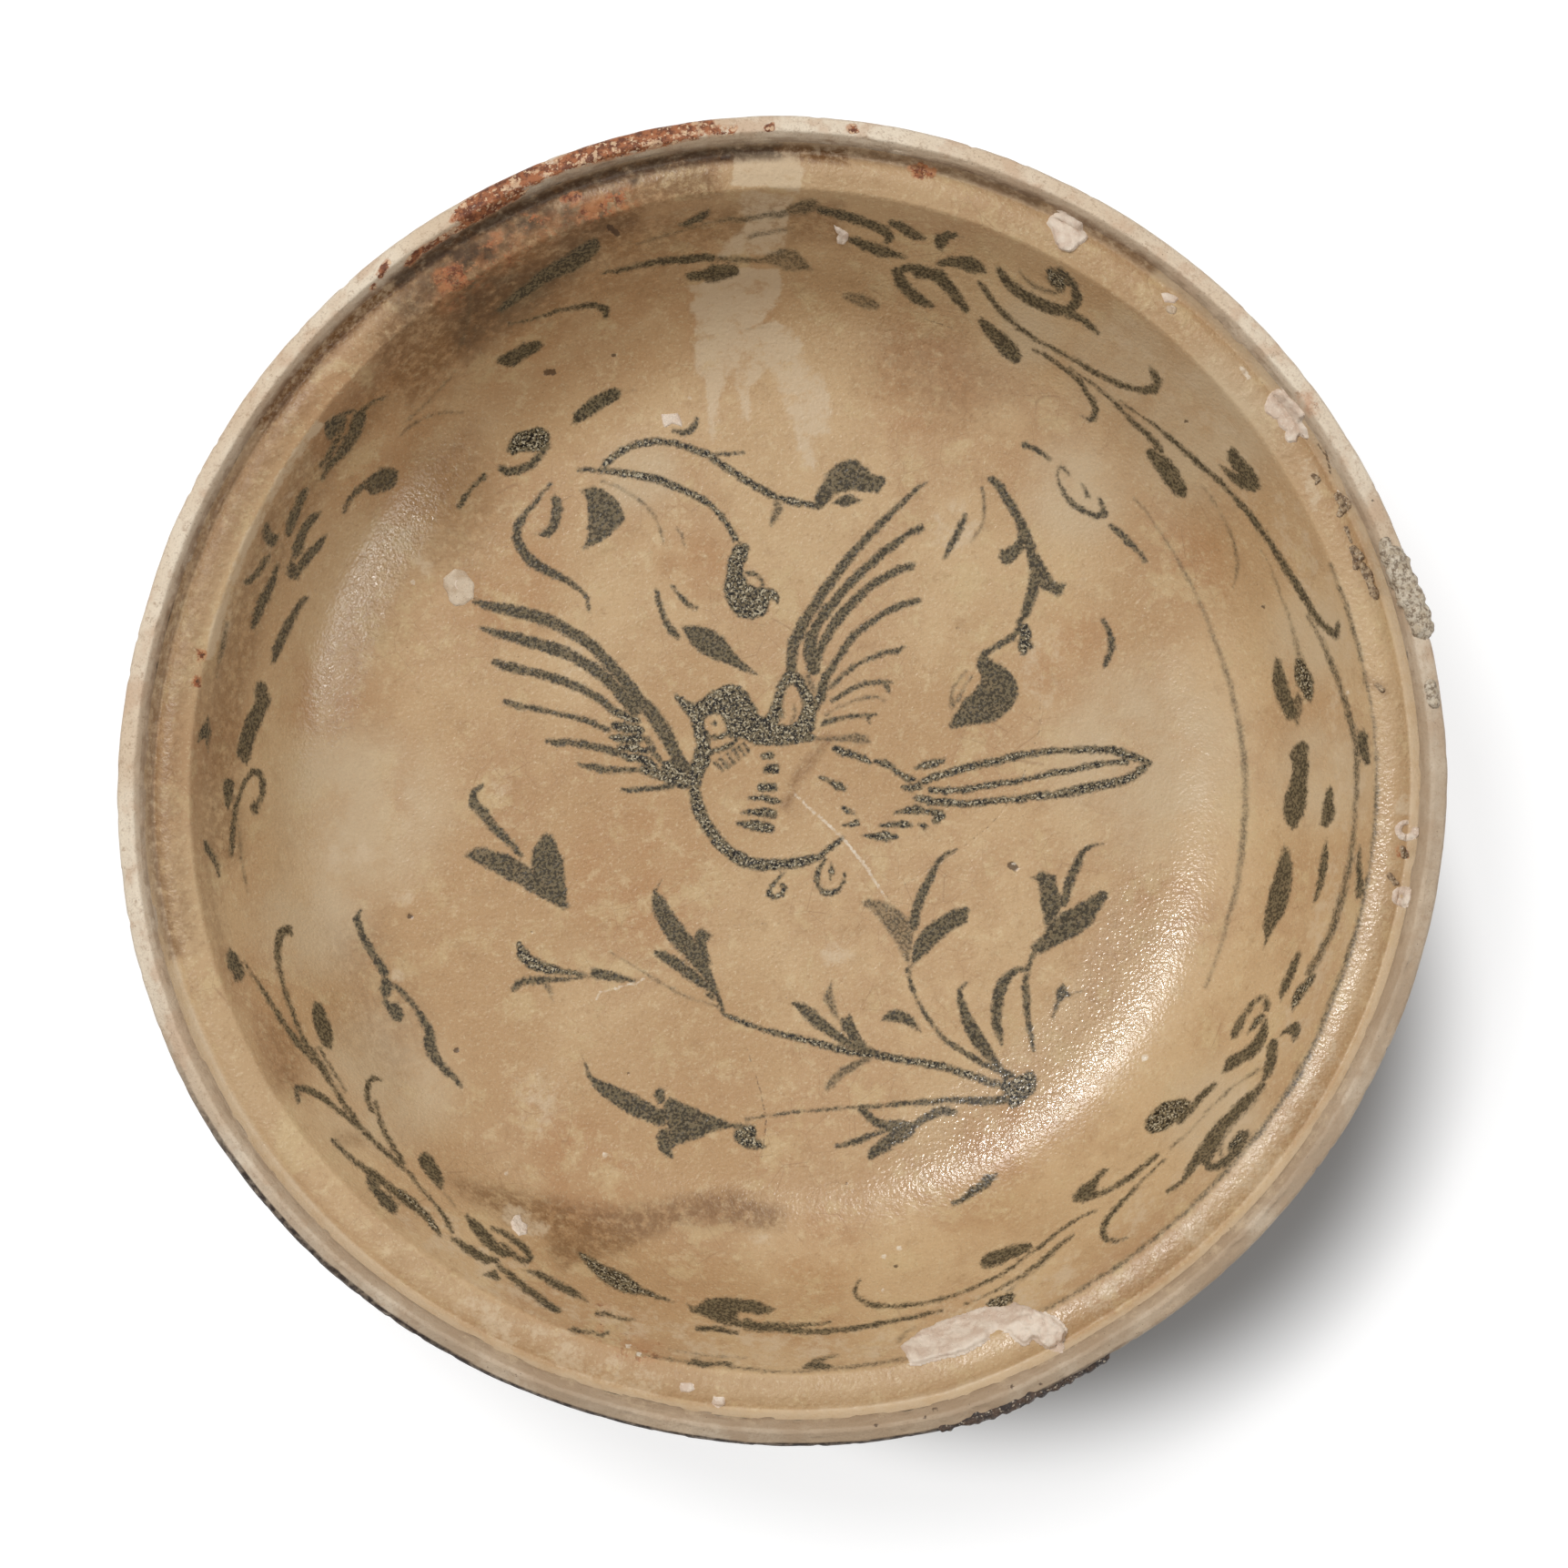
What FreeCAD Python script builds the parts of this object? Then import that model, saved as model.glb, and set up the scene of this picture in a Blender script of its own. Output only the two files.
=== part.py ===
# A thrown stoneware bowl with a bare lip, a guttered flange and a turned foot, its glaze coats,
# a crust from the kiln and the lime, barnacle scars and concretions that the sea left on it.
# Millimetres, +Z up, origin at the centre of the circle that the foot stands on.
import FreeCAD, Part
import math
import os
import Sketcher

V = FreeCAD.Vector

# Driving dimensions, in millimetres, grouped by the piece that carries them
SIZES = {
    # clay: rim and lip
    "rim_radius": 175.0,
    "bowl_height": 80.0,
    "lip_width": 6.0,
    "lip_inner_bevel": 0.6,
    "lip_outer_round": 2.4,
    "lip_fall": 1.2,
    "lip_step": 2.6,
    "lip_step_run": 0.7,
    "lip_depth": 8.5,
    "lip_undercut": 0.8,
    # clay: flange, gutter and ridge
    "flange_width": 13.7,
    "ridge_drop": 7.0,
    "ridge_round": 1.6,
    "gutter_run": 3.4,
    "gutter_depth": 0.8,
    "gutter_round": 5.0,
    "throat_inset": 14.5,
    "throat_drop": 15.0,
    "throat_round": 9.0,
    # clay: floor and wall
    "floor_inset": 48.0,
    "floor_thickness": 9.0,
    "floor_rise": 1.5,
    "cove_round": 28.0,
    "belly_clearance": 6.0,
    "belly_rise": 3.5,
    "belly_round": 32.0,
    # clay: foot ring
    "foot_inset": 17.0,
    "foot_width": 8.0,
    "foot_height": 11.0,
    "foot_flare": 1.5,
    "foot_bevel": 0.8,
    "foot_inner_taper": 1.5,
    "base_drop": 2.0,
    "base_dome": 0.8,
    # glaze
    "glaze_floor": 0.6,
    "glaze_ridge": 0.35,
    "glaze_pool": 0.8,
    "glaze_edge": 0.4,
    "glaze_outside": 0.5,
    "glaze_roll_height": 0.9,
    # lime patches: length along the rim, width across it
    "lime_thickness": 1.3,
    "lime_south_length": 42.0,
    "lime_south_width": 16.0,
    "lime_east_length": 14.0,
    "lime_east_width": 9.5,
    "lime_northeast_length": 10.0,
    "lime_northeast_width": 9.5,
    "lime_fleck_length": 5.6,
    "lime_fleck_width": 3.6,
    # barnacle scars
    "scar_radius": 2.5,
    "scar_wall": 1.0,
    "scar_height": 0.6,
    "scar_plate_length": 10.0,
    "scar_plate_width": 8.6,
    "scar_plate_thickness": 0.8,
    "plate_ring_radius": 1.5,
    # lumps on the rim and crust in the gutter
    "concretion_length": 24.0,
    "concretion_width": 7.5,
    "concretion_height": 3.4,
    "nodule_length": 4.4,
    "crust_grain_length": 3.6,
    "crust_grain_height": 1.2,
    "crust_length": 14.0,
    "kiln_crust_length": 27.0,
    "kiln_crust_depth": 5.0,
    "kiln_crust_thickness": 2.4,
    # how far a cutting or cut shape runs past what it cuts
    "overrun": 5.0,
}

# How far a coated corner leans towards the axis, as a share of the coat there
COAT_LEAN_SHARE = 0.6
# Where the outside coat starts on the lip's outer side and ends on the under-belly
COAT_TOP_SHARE = 0.55
COAT_FOOT_SHARE = 0.1

# Outlines of the patches: (along the rim, across it), as shares of the patch's length and width
SOUTH_PATCH_SHARES = [
    (-0.50, 0.28), (-0.44, 0.46), (-0.32, 0.28), (-0.20, 0.05), (-0.08, -0.18), (0.03, -0.24),
    (0.16, -0.02), (0.34, 0.02), (0.44, 0.42), (0.50, 0.34), (0.50, 0.02), (0.40, -0.24),
    (0.20, -0.45), (-0.06, -0.50), (-0.30, -0.30), (-0.44, 0.02),
]
LUMP_PATCH_SHARES = [
    (-0.50, -0.10), (-0.34, 0.34), (-0.02, 0.50), (0.30, 0.30), (0.50, 0.12), (0.36, -0.22),
    (0.06, -0.50), (-0.30, -0.40),
]
PLATE_SHARES = [
    (-0.50, -0.06), (-0.30, 0.40), (0.04, 0.50), (0.42, 0.30), (0.50, -0.12), (0.24, -0.46),
    (-0.18, -0.50),
]

# Directions round the rim, in degrees from +X towards +Y
LIME_SOUTH_ANGLE = -69.5
LIME_EAST_ANGLE = 36.0
LIME_NORTHEAST_ANGLE = 62.4
CONCRETION_ANGLE = 16.8
NODULE_ANGLE = 7.3
CRUST_ANGLE = 18.9
CRUST_OUTLIER_ANGLE = 25.8
KILN_CRUST_ANGLE = -70.5
FLANGE_SCAR_ANGLES = (-4.4, -10.7)
SCAR_PLATE_ANGLE = 149.0
# How many sides a grain has, and how far each grain is turned from the last, in degrees
GRAIN_SIDES = 7
GRAIN_TURN = 23.0

# Small flecks of lime: (angle, share of the way from the ridge to the lip)
FLANGE_FLECKS = ((51.4, 0.62), (-98.9, 0.45), (-95.8, 0.65))
# And on the wall and floor: (angle, share of the floor radius)
FLOOR_FLECKS = ((-120.7, 1.09), (106.5, 0.82))

# Where the lime patches lie, as shares of the way from the ridge to the lip
SOUTH_PATCH_SHARE = -0.10
EAST_PATCH_SHARE = 0.70
NORTHEAST_PATCH_SHARE = 0.62
SCAR_SHARE = 0.70
CRUST_SHARE = 0.68
SCAR_PLATE_SHARE = 0.815
# The top of a grain and of a scar's ring, as shares of the width at the foot
GRAIN_TOP_SHARE = 0.62
SCAR_TOP_SHARE = 0.84

# The concretion's grains: (along, out from the lip's middle, size), as shares of its length,
# its width and a full grain
CONCRETION_SHARES = (
    (-0.36, 0.34, 0.74), (-0.20, 0.40, 0.90), (-0.06, 0.22, 1.00), (0.10, 0.30, 0.84),
    (0.22, 0.10, 0.90), (0.38, 0.14, 0.66),
)
# The crust's grains: (along, across), as shares of its length and of the grain
CRUST_SHARES = ((-0.45, 0.30), (-0.20, -0.10), (0.05, 0.20), (0.30, -0.20), (0.50, 0.05))
CRUST_OUTLIER_SHARES = ((-0.08, -0.15), (0.08, 0.15))
# The kiln crust's grains under the rim: (along, down), as shares of its length and depth
KILN_CRUST_SHARES = ((-0.42, 0.10), (-0.18, 0.34), (0.08, 0.20), (0.30, 0.42), (0.46, 0.12))
# A full grain's half length, as a share of the length of the crust that it is part of
GRAIN_LENGTH_SHARE = 0.22


def make_sheet(doc):
    sheet = doc.addObject("Spreadsheet::Sheet", "Sizes")
    for row, (alias, value) in enumerate(SIZES.items(), start=1):
        sheet.set(f"A{row}", alias)
        sheet.set(f"B{row}", str(value))
        sheet.setAlias(f"B{row}", alias)
    doc.recompute()
    return sheet


# A corner of a profile: its distance from the axis, its height and its rounding, as expressions.
# A corner on the axis has no "across", and one at the foot's plane has no "up".
def corner(name, across, up, rounding=None):
    return {"name": name, "across": across, "up": up, "rounding": rounding}


# The clay's corners, from the middle of the floor over the lip to the middle of the base
BASE_UP = "Sizes.foot_height - Sizes.base_drop"
FLOOR_ACROSS = "Sizes.rim_radius - Sizes.floor_inset"
FLOOR_CENTRE_UP = BASE_UP + " + Sizes.base_dome + Sizes.floor_thickness"
FLOOR_EDGE_UP = FLOOR_CENTRE_UP + " + Sizes.floor_rise"
RIDGE_ACROSS = "Sizes.rim_radius - Sizes.lip_width - Sizes.flange_width"
RIDGE_UP = "Sizes.bowl_height - Sizes.ridge_drop"
GUTTER_ACROSS = RIDGE_ACROSS + " + Sizes.gutter_run"
GUTTER_UP = RIDGE_UP + " - Sizes.gutter_depth"
LIP_BASE_ACROSS = "Sizes.rim_radius - Sizes.lip_width - Sizes.lip_step_run"
LIP_BASE_UP = "Sizes.bowl_height - Sizes.lip_step"
LIP_OUTER_UP = "Sizes.bowl_height - Sizes.lip_fall"
LIP_UNDER_ACROSS = "Sizes.rim_radius - Sizes.lip_undercut"
LIP_UNDER_UP = "Sizes.bowl_height - Sizes.lip_depth"
THROAT_ACROSS = "Sizes.rim_radius - Sizes.throat_inset"
THROAT_UP = "Sizes.bowl_height - Sizes.throat_drop"
BELLY_ACROSS = FLOOR_ACROSS + " + Sizes.belly_clearance"
BELLY_UP = "Sizes.foot_height + Sizes.belly_rise"
FOOT_ACROSS = FLOOR_ACROSS + " - Sizes.foot_inset"
FOOT_NECK_ACROSS = FOOT_ACROSS + " + Sizes.foot_flare"
FOOT_INNER_ACROSS = FOOT_ACROSS + " - Sizes.foot_width"

INSIDE_CORNERS = [
    corner("floor_centre", None, FLOOR_CENTRE_UP),
    corner("floor_edge", FLOOR_ACROSS, FLOOR_EDGE_UP, "Sizes.cove_round"),
    corner("ridge", RIDGE_ACROSS, RIDGE_UP, "Sizes.ridge_round"),
    corner("gutter", GUTTER_ACROSS, GUTTER_UP, "Sizes.gutter_round"),
    corner("lip_base", LIP_BASE_ACROSS, LIP_BASE_UP),
]
LIP_CORNERS = [
    corner("lip_inner_side", "Sizes.rim_radius - Sizes.lip_width",
           "Sizes.bowl_height - Sizes.lip_inner_bevel"),
    corner("lip_inner_top", "Sizes.rim_radius - Sizes.lip_width + Sizes.lip_inner_bevel",
           "Sizes.bowl_height"),
    corner("lip_outer", "Sizes.rim_radius", LIP_OUTER_UP, "Sizes.lip_outer_round"),
]
OUTSIDE_CORNERS = [
    corner("lip_under", LIP_UNDER_ACROSS, LIP_UNDER_UP),
    corner("throat", THROAT_ACROSS, THROAT_UP, "Sizes.throat_round"),
    corner("belly", BELLY_ACROSS, BELLY_UP, "Sizes.belly_round"),
]
FOOT_CORNERS = [
    corner("foot_neck", FOOT_NECK_ACROSS, "Sizes.foot_height"),
    corner("foot_outer_side", FOOT_ACROSS, "Sizes.foot_bevel"),
    corner("foot_outer_sole", FOOT_ACROSS + " - Sizes.foot_bevel", None),
    corner("foot_inner_sole", FOOT_INNER_ACROSS + " + Sizes.foot_bevel", None),
    corner("foot_inner_side", FOOT_INNER_ACROSS, "Sizes.foot_bevel"),
    corner("base_edge", FOOT_INNER_ACROSS + " - Sizes.foot_inner_taper", BASE_UP),
    corner("base_centre", None, BASE_UP + " + Sizes.base_dome"),
]


def between(first, last, share):
    return f"({first}) + {share} * (({last}) - ({first}))"


def plus(length, size, share=1.0):
    return f"{length} + {share} * Sizes.{size}"


# The glaze inside, back from the lip: thin on the ridge, pooled in the gutter
INSIDE_COAT_CORNERS = [
    corner("coat_edge", plus(LIP_BASE_ACROSS, "glaze_edge", -COAT_LEAN_SHARE),
           plus(LIP_BASE_UP, "glaze_edge", COAT_LEAN_SHARE)),
    corner("coat_gutter", GUTTER_ACROSS, plus(GUTTER_UP, "glaze_pool"), "Sizes.gutter_round"),
    corner("coat_ridge", plus(RIDGE_ACROSS, "glaze_ridge", -COAT_LEAN_SHARE),
           plus(RIDGE_UP, "glaze_ridge"), "Sizes.ridge_round"),
    corner("coat_floor_edge", plus(FLOOR_ACROSS, "glaze_floor", -COAT_LEAN_SHARE),
           plus(FLOOR_EDGE_UP, "glaze_floor"), "Sizes.cove_round"),
    corner("coat_floor_centre", None, plus(FLOOR_CENTRE_UP, "glaze_floor")),
]

# The glaze outside, from the lip's outer side down to a thick roll above the foot
COAT_TOP_ACROSS = between("Sizes.rim_radius", LIP_UNDER_ACROSS, COAT_TOP_SHARE)
COAT_TOP_UP = between(LIP_OUTER_UP, LIP_UNDER_UP, COAT_TOP_SHARE)
COAT_FOOT_ACROSS = between(FOOT_NECK_ACROSS, BELLY_ACROSS, COAT_FOOT_SHARE)
COAT_FOOT_UP = between("Sizes.foot_height", BELLY_UP, COAT_FOOT_SHARE)
OUTSIDE_COAT_CORNERS = [
    corner("coat_foot_end", COAT_FOOT_ACROSS, COAT_FOOT_UP),
    corner("coat_foot_roll", COAT_FOOT_ACROSS, plus(COAT_FOOT_UP, "glaze_roll_height", -1.0)),
    corner("coat_belly", plus(BELLY_ACROSS, "glaze_outside", COAT_LEAN_SHARE),
           plus(BELLY_UP, "glaze_outside", -1.0), "Sizes.belly_round"),
    corner("coat_throat", plus(THROAT_ACROSS, "glaze_outside", COAT_LEAN_SHARE),
           plus(THROAT_UP, "glaze_outside", -1.0), "Sizes.throat_round"),
    corner("coat_lip_under", plus(LIP_UNDER_ACROSS, "glaze_outside", COAT_LEAN_SHARE),
           plus(LIP_UNDER_UP, "glaze_outside", -COAT_LEAN_SHARE)),
    corner("coat_top", COAT_TOP_ACROSS, COAT_TOP_UP),
]


# Where a corner's rounding leaves the two edges that meet there, and the arc's centre
def rounded(before, at, after, radius):
    to_before = (before - at).normalize()
    to_after = (after - at).normalize()
    half_angle = to_before.getAngle(to_after) / 2
    reach = radius / math.tan(half_angle)
    middle = (to_before + to_after).normalize()
    return at + to_before * reach, at + to_after * reach, at + middle * (radius / math.sin(half_angle))


# Draws a closed profile of straight edges and rounded corners, each held by its expressions
def draw_profile(sketch, corners):
    count = len(corners)
    at = []
    for c in corners:
        across = float(sketch.evalExpression(c["across"])) if c["across"] else 0
        up = float(sketch.evalExpression(c["up"])) if c["up"] else 0
        at.append(V(across, up, 0))
    leave = list(at)
    arrive = list(at)
    centres = {}
    for i, c in enumerate(corners):
        if c["rounding"]:
            radius = float(sketch.evalExpression(c["rounding"]))
            arrive[i], leave[i], centres[i] = rounded(at[i - 1], at[i], at[(i + 1) % count], radius)
    edges = [
        sketch.addGeometry(Part.LineSegment(leave[i], arrive[(i + 1) % count]), False)
        for i in range(count)
    ]

    def hold(kind, name, expression, *where):
        value = float(sketch.evalExpression(expression))
        index = sketch.addConstraint(Sketcher.Constraint(kind, *where, value))
        sketch.renameConstraint(index, name)
        sketch.setExpression(f".Constraints.{name}", expression)

    def place(geometry, point, c):
        if c["across"]:
            hold("DistanceX", c["name"] + "_across", c["across"], -1, 1, geometry, point)
        else:
            sketch.addConstraint(Sketcher.Constraint("PointOnObject", geometry, point, -2))
        if c["up"]:
            hold("DistanceY", c["name"] + "_up", c["up"], -1, 1, geometry, point)
        else:
            sketch.addConstraint(Sketcher.Constraint("PointOnObject", geometry, point, -1))

    for i, c in enumerate(corners):
        before, after = edges[i - 1], edges[i]
        if not c["rounding"]:
            sketch.addConstraint(Sketcher.Constraint("Coincident", before, 2, after, 1))
            place(after, 1, c)
            continue
        first, last, centre = arrive[i], leave[i], centres[i]
        turns_left = (first - centre).cross(last - centre).z > 0
        start, end = (first, last) if turns_left else (last, first)
        circle = Part.Circle(centre, V(0, 0, 1), (first - centre).Length)
        arc = sketch.addGeometry(
            Part.ArcOfCircle(circle, circle.parameter(start), circle.parameter(end)), False
        )
        point = sketch.addGeometry(Part.Point(at[i]), True)
        place(point, 1, c)
        sketch.addConstraint(Sketcher.Constraint("PointOnObject", point, 1, before))
        sketch.addConstraint(Sketcher.Constraint("PointOnObject", point, 1, after))
        start_end = (1, 2) if turns_left else (2, 1)
        sketch.addConstraint(Sketcher.Constraint("Tangent", before, 2, arc, start_end[0]))
        sketch.addConstraint(Sketcher.Constraint("Tangent", arc, start_end[1], after, 1))
        hold("Radius", c["name"] + "_round", c["rounding"], arc)


# A body turned about the bowl's axis from one closed profile
def turned(doc, name, corners):
    body = doc.addObject("PartDesign::Body", name)
    body.Label = name
    sketch = body.newObject("Sketcher::SketchObject", name + "_profile")
    plane = next(f for f in body.Origin.OriginFeatures if f.Role == "XZ_Plane")
    sketch.AttachmentSupport = [(plane, "")]
    sketch.MapMode = "FlatFace"
    draw_profile(sketch, corners)
    doc.recompute()
    turn = body.newObject("PartDesign::Revolution", name + "_turned")
    turn.Profile = sketch
    turn.ReferenceAxis = (sketch, ["V_Axis"])
    turn.Angle = 360
    doc.recompute()
    return body


def size(sheet, alias):
    return float(sheet.get(alias))


# A point on a circle about the bowl's axis
def polar(radius, degrees, up):
    angle = math.radians(degrees)
    return V(radius * math.cos(angle), radius * math.sin(angle), up)


def flat_face(points):
    return Part.Face(Part.makePolygon([*points, points[0]]))


# A patch that lies on the bowl: its outline is drawn from above, and the patch is what a short
# column of that outline holds between the finished surface and the same surface raised
def patch(doc, sheet, name, finished, raised, outline_shares, radius, degrees, length, width):
    points = [
        polar(radius + across * width, degrees + math.degrees(along * length / radius), 0)
        for along, across in outline_shares
    ]
    heights = [surface_height(sheet, finished, point) for point in points]
    overrun = size(sheet, "overrun")
    outline = doc.addObject("Part::Feature", name + "_outline")
    outline.Shape = flat_face(points)
    outline.Placement = FreeCAD.Placement(V(0, 0, min(heights) - overrun), FreeCAD.Rotation())
    column = doc.addObject("Part::Extrusion", name + "_column")
    column.Base = outline
    column.DirMode = "Custom"
    column.Dir = V(0, 0, 1)
    column.Solid = True
    column.LengthFwd = max(heights) - min(heights) + 2 * overrun
    blank = doc.addObject("Part::Common", name + "_blank")
    blank.Base = column
    blank.Tool = raised
    return seated(doc, name, blank, finished)


# What stands proud of the finished bowl, face to face with it
def seated(doc, name, blank, finished):
    piece = doc.addObject("Part::Cut", name)
    piece.Label = name
    piece.Base = blank
    piece.Tool = finished
    return piece


# Several shapes fused into one blank, or the one shape itself
def fused(doc, name, shapes):
    if len(shapes) == 1:
        return shapes[0]
    blank = doc.addObject("Part::MultiFuse", name)
    blank.Shapes = shapes
    return blank


# A place on the bowl with its own X along the rim and its own Y away from the axis
def place(radius, degrees, up):
    return FreeCAD.Placement(polar(radius, degrees, up), FreeCAD.Rotation(V(0, 0, 1), degrees - 90))


# A place on the finished bowl's surface, with its own Z square to that surface
def seat(sheet, finished, radius, degrees):
    step = size(sheet, "lime_thickness")
    inner = surface_height(sheet, finished, polar(radius - step, degrees, 0))
    outer = surface_height(sheet, finished, polar(radius + step, degrees, 0))
    slope = math.degrees(math.atan2(outer - inner, 2 * step))
    at = place(radius, degrees, (inner + outer) / 2)
    return at.multiply(FreeCAD.Placement(V(), FreeCAD.Rotation(V(1, 0, 0), slope)))


# A flat-faced grain with sloping sides, between its wide foot and its narrow top
def grain(doc, name, at, turn, half_length, half_width, foot_up, top_up):
    steps = [math.radians(turn + 360 * k / GRAIN_SIDES) for k in range(GRAIN_SIDES)]
    foot = [at.multVec(V(half_length * math.cos(a), half_width * math.sin(a), foot_up))
            for a in steps]
    top = [
        at.multVec(V(GRAIN_TOP_SHARE * half_length * math.cos(a),
                     GRAIN_TOP_SHARE * half_width * math.sin(a), top_up))
        for a in steps
    ]
    sides = [flat_face([foot[k - 1], foot[k], top[k], top[k - 1]]) for k in range(GRAIN_SIDES)]
    piece = doc.addObject("Part::Feature", name)
    piece.Shape = Part.Solid(Part.Shell([flat_face(foot), flat_face(top), *sides]))
    return piece


# The low ring that a barnacle's wall leaves, its foot sunk in the glaze
def scar_ring(doc, sheet, name, at, radius_name):
    outer = doc.addObject("Part::Cone", name + "_outer")
    outer.setExpression("Radius1", f"Sizes.{radius_name}")
    outer.setExpression("Radius2", f"{SCAR_TOP_SHARE} * Sizes.{radius_name}")
    outer.setExpression("Height", "2 * Sizes.scar_height")
    inner = doc.addObject("Part::Cylinder", name + "_inner")
    inner.setExpression("Radius", f"Sizes.{radius_name} - Sizes.scar_wall")
    inner.setExpression("Height", "2 * Sizes.scar_height")
    sunk = FreeCAD.Placement(V(0, 0, -size(sheet, "scar_height")), FreeCAD.Rotation())
    outer.Placement = at.multiply(sunk)
    inner.Placement = outer.Placement
    ring = doc.addObject("Part::Cut", name)
    ring.Base = outer
    ring.Tool = inner
    return ring


# The height of the finished bowl above a point of the plane that it stands on
def surface_height(sheet, finished, foot):
    top = V(0, 0, size(sheet, "bowl_height") + size(sheet, "overrun"))
    probe = Part.LineSegment(foot, foot + top).toShape()
    return max(v.Z for v in finished.Shape.common(probe).Vertexes)


def make_lime(doc, sheet, finished, raised, ridge, flange):
    pieces = []
    for name, shares, share, degrees in (
        ("lime_south", SOUTH_PATCH_SHARES, SOUTH_PATCH_SHARE, LIME_SOUTH_ANGLE),
        ("lime_east", LUMP_PATCH_SHARES, EAST_PATCH_SHARE, LIME_EAST_ANGLE),
        ("lime_northeast", LUMP_PATCH_SHARES, NORTHEAST_PATCH_SHARE, LIME_NORTHEAST_ANGLE),
    ):
        pieces.append(
            patch(doc, sheet, name + "_patch", finished, raised, shares, ridge + share * flange,
                  degrees, size(sheet, name + "_length"), size(sheet, name + "_width"))
        )
    floor = size(sheet, "rim_radius") - size(sheet, "floor_inset")
    places = [(degrees, ridge + share * flange) for degrees, share in FLANGE_FLECKS]
    places += [(degrees, share * floor) for degrees, share in FLOOR_FLECKS]
    flecks = [
        patch(doc, sheet, f"lime_fleck_{n}", finished, raised, LUMP_PATCH_SHARES, radius, degrees,
              size(sheet, "lime_fleck_length"), size(sheet, "lime_fleck_width"))
        for n, (degrees, radius) in enumerate(places, start=1)
    ]
    group = doc.addObject("Part::Compound", "lime_flecks")
    group.Label = "lime_flecks"
    group.Links = flecks
    return [*pieces, group]


def make_scars(doc, sheet, finished, plate_surface, ridge, flange):
    scars = []
    for n, degrees in enumerate(FLANGE_SCAR_ANGLES, start=1):
        at = seat(sheet, finished, ridge + SCAR_SHARE * flange, degrees)
        ring = scar_ring(doc, sheet, f"scar_ring_{n}", at, "scar_radius")
        scars.append(seated(doc, f"scar_{n}", ring, finished))
    floor = size(sheet, "rim_radius") - size(sheet, "floor_inset")
    radius = SCAR_PLATE_SHARE * floor
    plate = patch(doc, sheet, "scar_plate", finished, plate_surface, PLATE_SHARES, radius,
                  SCAR_PLATE_ANGLE, size(sheet, "scar_plate_length"), size(sheet, "scar_plate_width"))
    up = surface_height(sheet, finished, polar(radius, SCAR_PLATE_ANGLE, 0))
    at = place(radius, SCAR_PLATE_ANGLE, up + size(sheet, "scar_plate_thickness"))
    ring = scar_ring(doc, sheet, "plate_ring", at, "plate_ring_radius")
    scars.append(fused(doc, "scar_plate_and_ring", [plate, ring]))
    group = doc.addObject("Part::Compound", "barnacle_scars")
    group.Label = "barnacle_scars"
    group.Links = scars
    return group


def make_rim_lumps(doc, sheet, finished):
    rim = size(sheet, "rim_radius")
    middle = rim - size(sheet, "lip_width") / 2
    top = size(sheet, "bowl_height") - size(sheet, "lip_fall")
    length = size(sheet, "concretion_length")
    width = size(sheet, "concretion_width")
    height = size(sheet, "concretion_height")
    grains = [
        grain(doc, f"concretion_grain_{n}",
              place(middle + out * width, CONCRETION_ANGLE + math.degrees(along * length / rim), top),
              n * GRAIN_TURN, grow * length * GRAIN_LENGTH_SHARE, grow * width / 2,
              -grow * height, grow * height)
        for n, (along, out, grow) in enumerate(CONCRETION_SHARES, start=1)
    ]
    concretion = seated(doc, "rim_concretion", fused(doc, "concretion_blank", grains), finished)
    half = size(sheet, "nodule_length") / 2
    blank = grain(doc, "nodule_blank", place(middle + half, NODULE_ANGLE, top), GRAIN_TURN,
                  half, half, -half, half)
    return [concretion, seated(doc, "rim_nodule", blank, finished)]


def make_crust(doc, sheet, finished, ridge, flange):
    radius = ridge + CRUST_SHARE * flange
    half = size(sheet, "crust_grain_length") / 2
    height = size(sheet, "crust_grain_height")
    rows = []
    for middle, shares in ((CRUST_ANGLE, CRUST_SHARES), (CRUST_OUTLIER_ANGLE, CRUST_OUTLIER_SHARES)):
        row = []
        for along, across in shares:
            degrees = middle + math.degrees(along * size(sheet, "crust_length") / radius)
            at = seat(sheet, finished, radius + across * half, degrees)
            row.append(
                grain(doc, f"crust_grain_{len(rows)}_{len(row)}", at, len(row) * GRAIN_TURN,
                      half, half, -height, height)
            )
        rows.append(seated(doc, f"crust_row_{len(rows)}",
                           fused(doc, f"crust_blank_{len(rows)}", row), finished))
    group = doc.addObject("Part::Compound", "gutter_crust")
    group.Label = "gutter_crust"
    group.Links = rows
    return group


# The dark crust that hangs on the outside of the lip, low enough to leave the lip's top clean
def make_kiln_crust(doc, sheet, finished):
    rim = size(sheet, "rim_radius") - size(sheet, "lip_undercut")
    length = size(sheet, "kiln_crust_length")
    depth = size(sheet, "kiln_crust_depth")
    middle_up = size(sheet, "bowl_height") - size(sheet, "lip_depth")
    thickness = size(sheet, "kiln_crust_thickness")
    grains = [
        grain(doc, f"kiln_grain_{n}",
              place(rim - thickness / 2, KILN_CRUST_ANGLE + math.degrees(along * length / rim),
                    middle_up - down * depth),
              n * GRAIN_TURN, length * GRAIN_LENGTH_SHARE, 1.5 * thickness, depth / 2, -depth / 2)
        for n, (along, down) in enumerate(KILN_CRUST_SHARES, start=1)
    ]
    return seated(doc, "kiln_crust", fused(doc, "kiln_blank", grains), finished)


def raise_surface(doc, name, finished, rise):
    raised = doc.addObject("Part::Feature", name)
    raised.Shape = finished.Shape.translated(V(0, 0, rise))
    return raised


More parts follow.
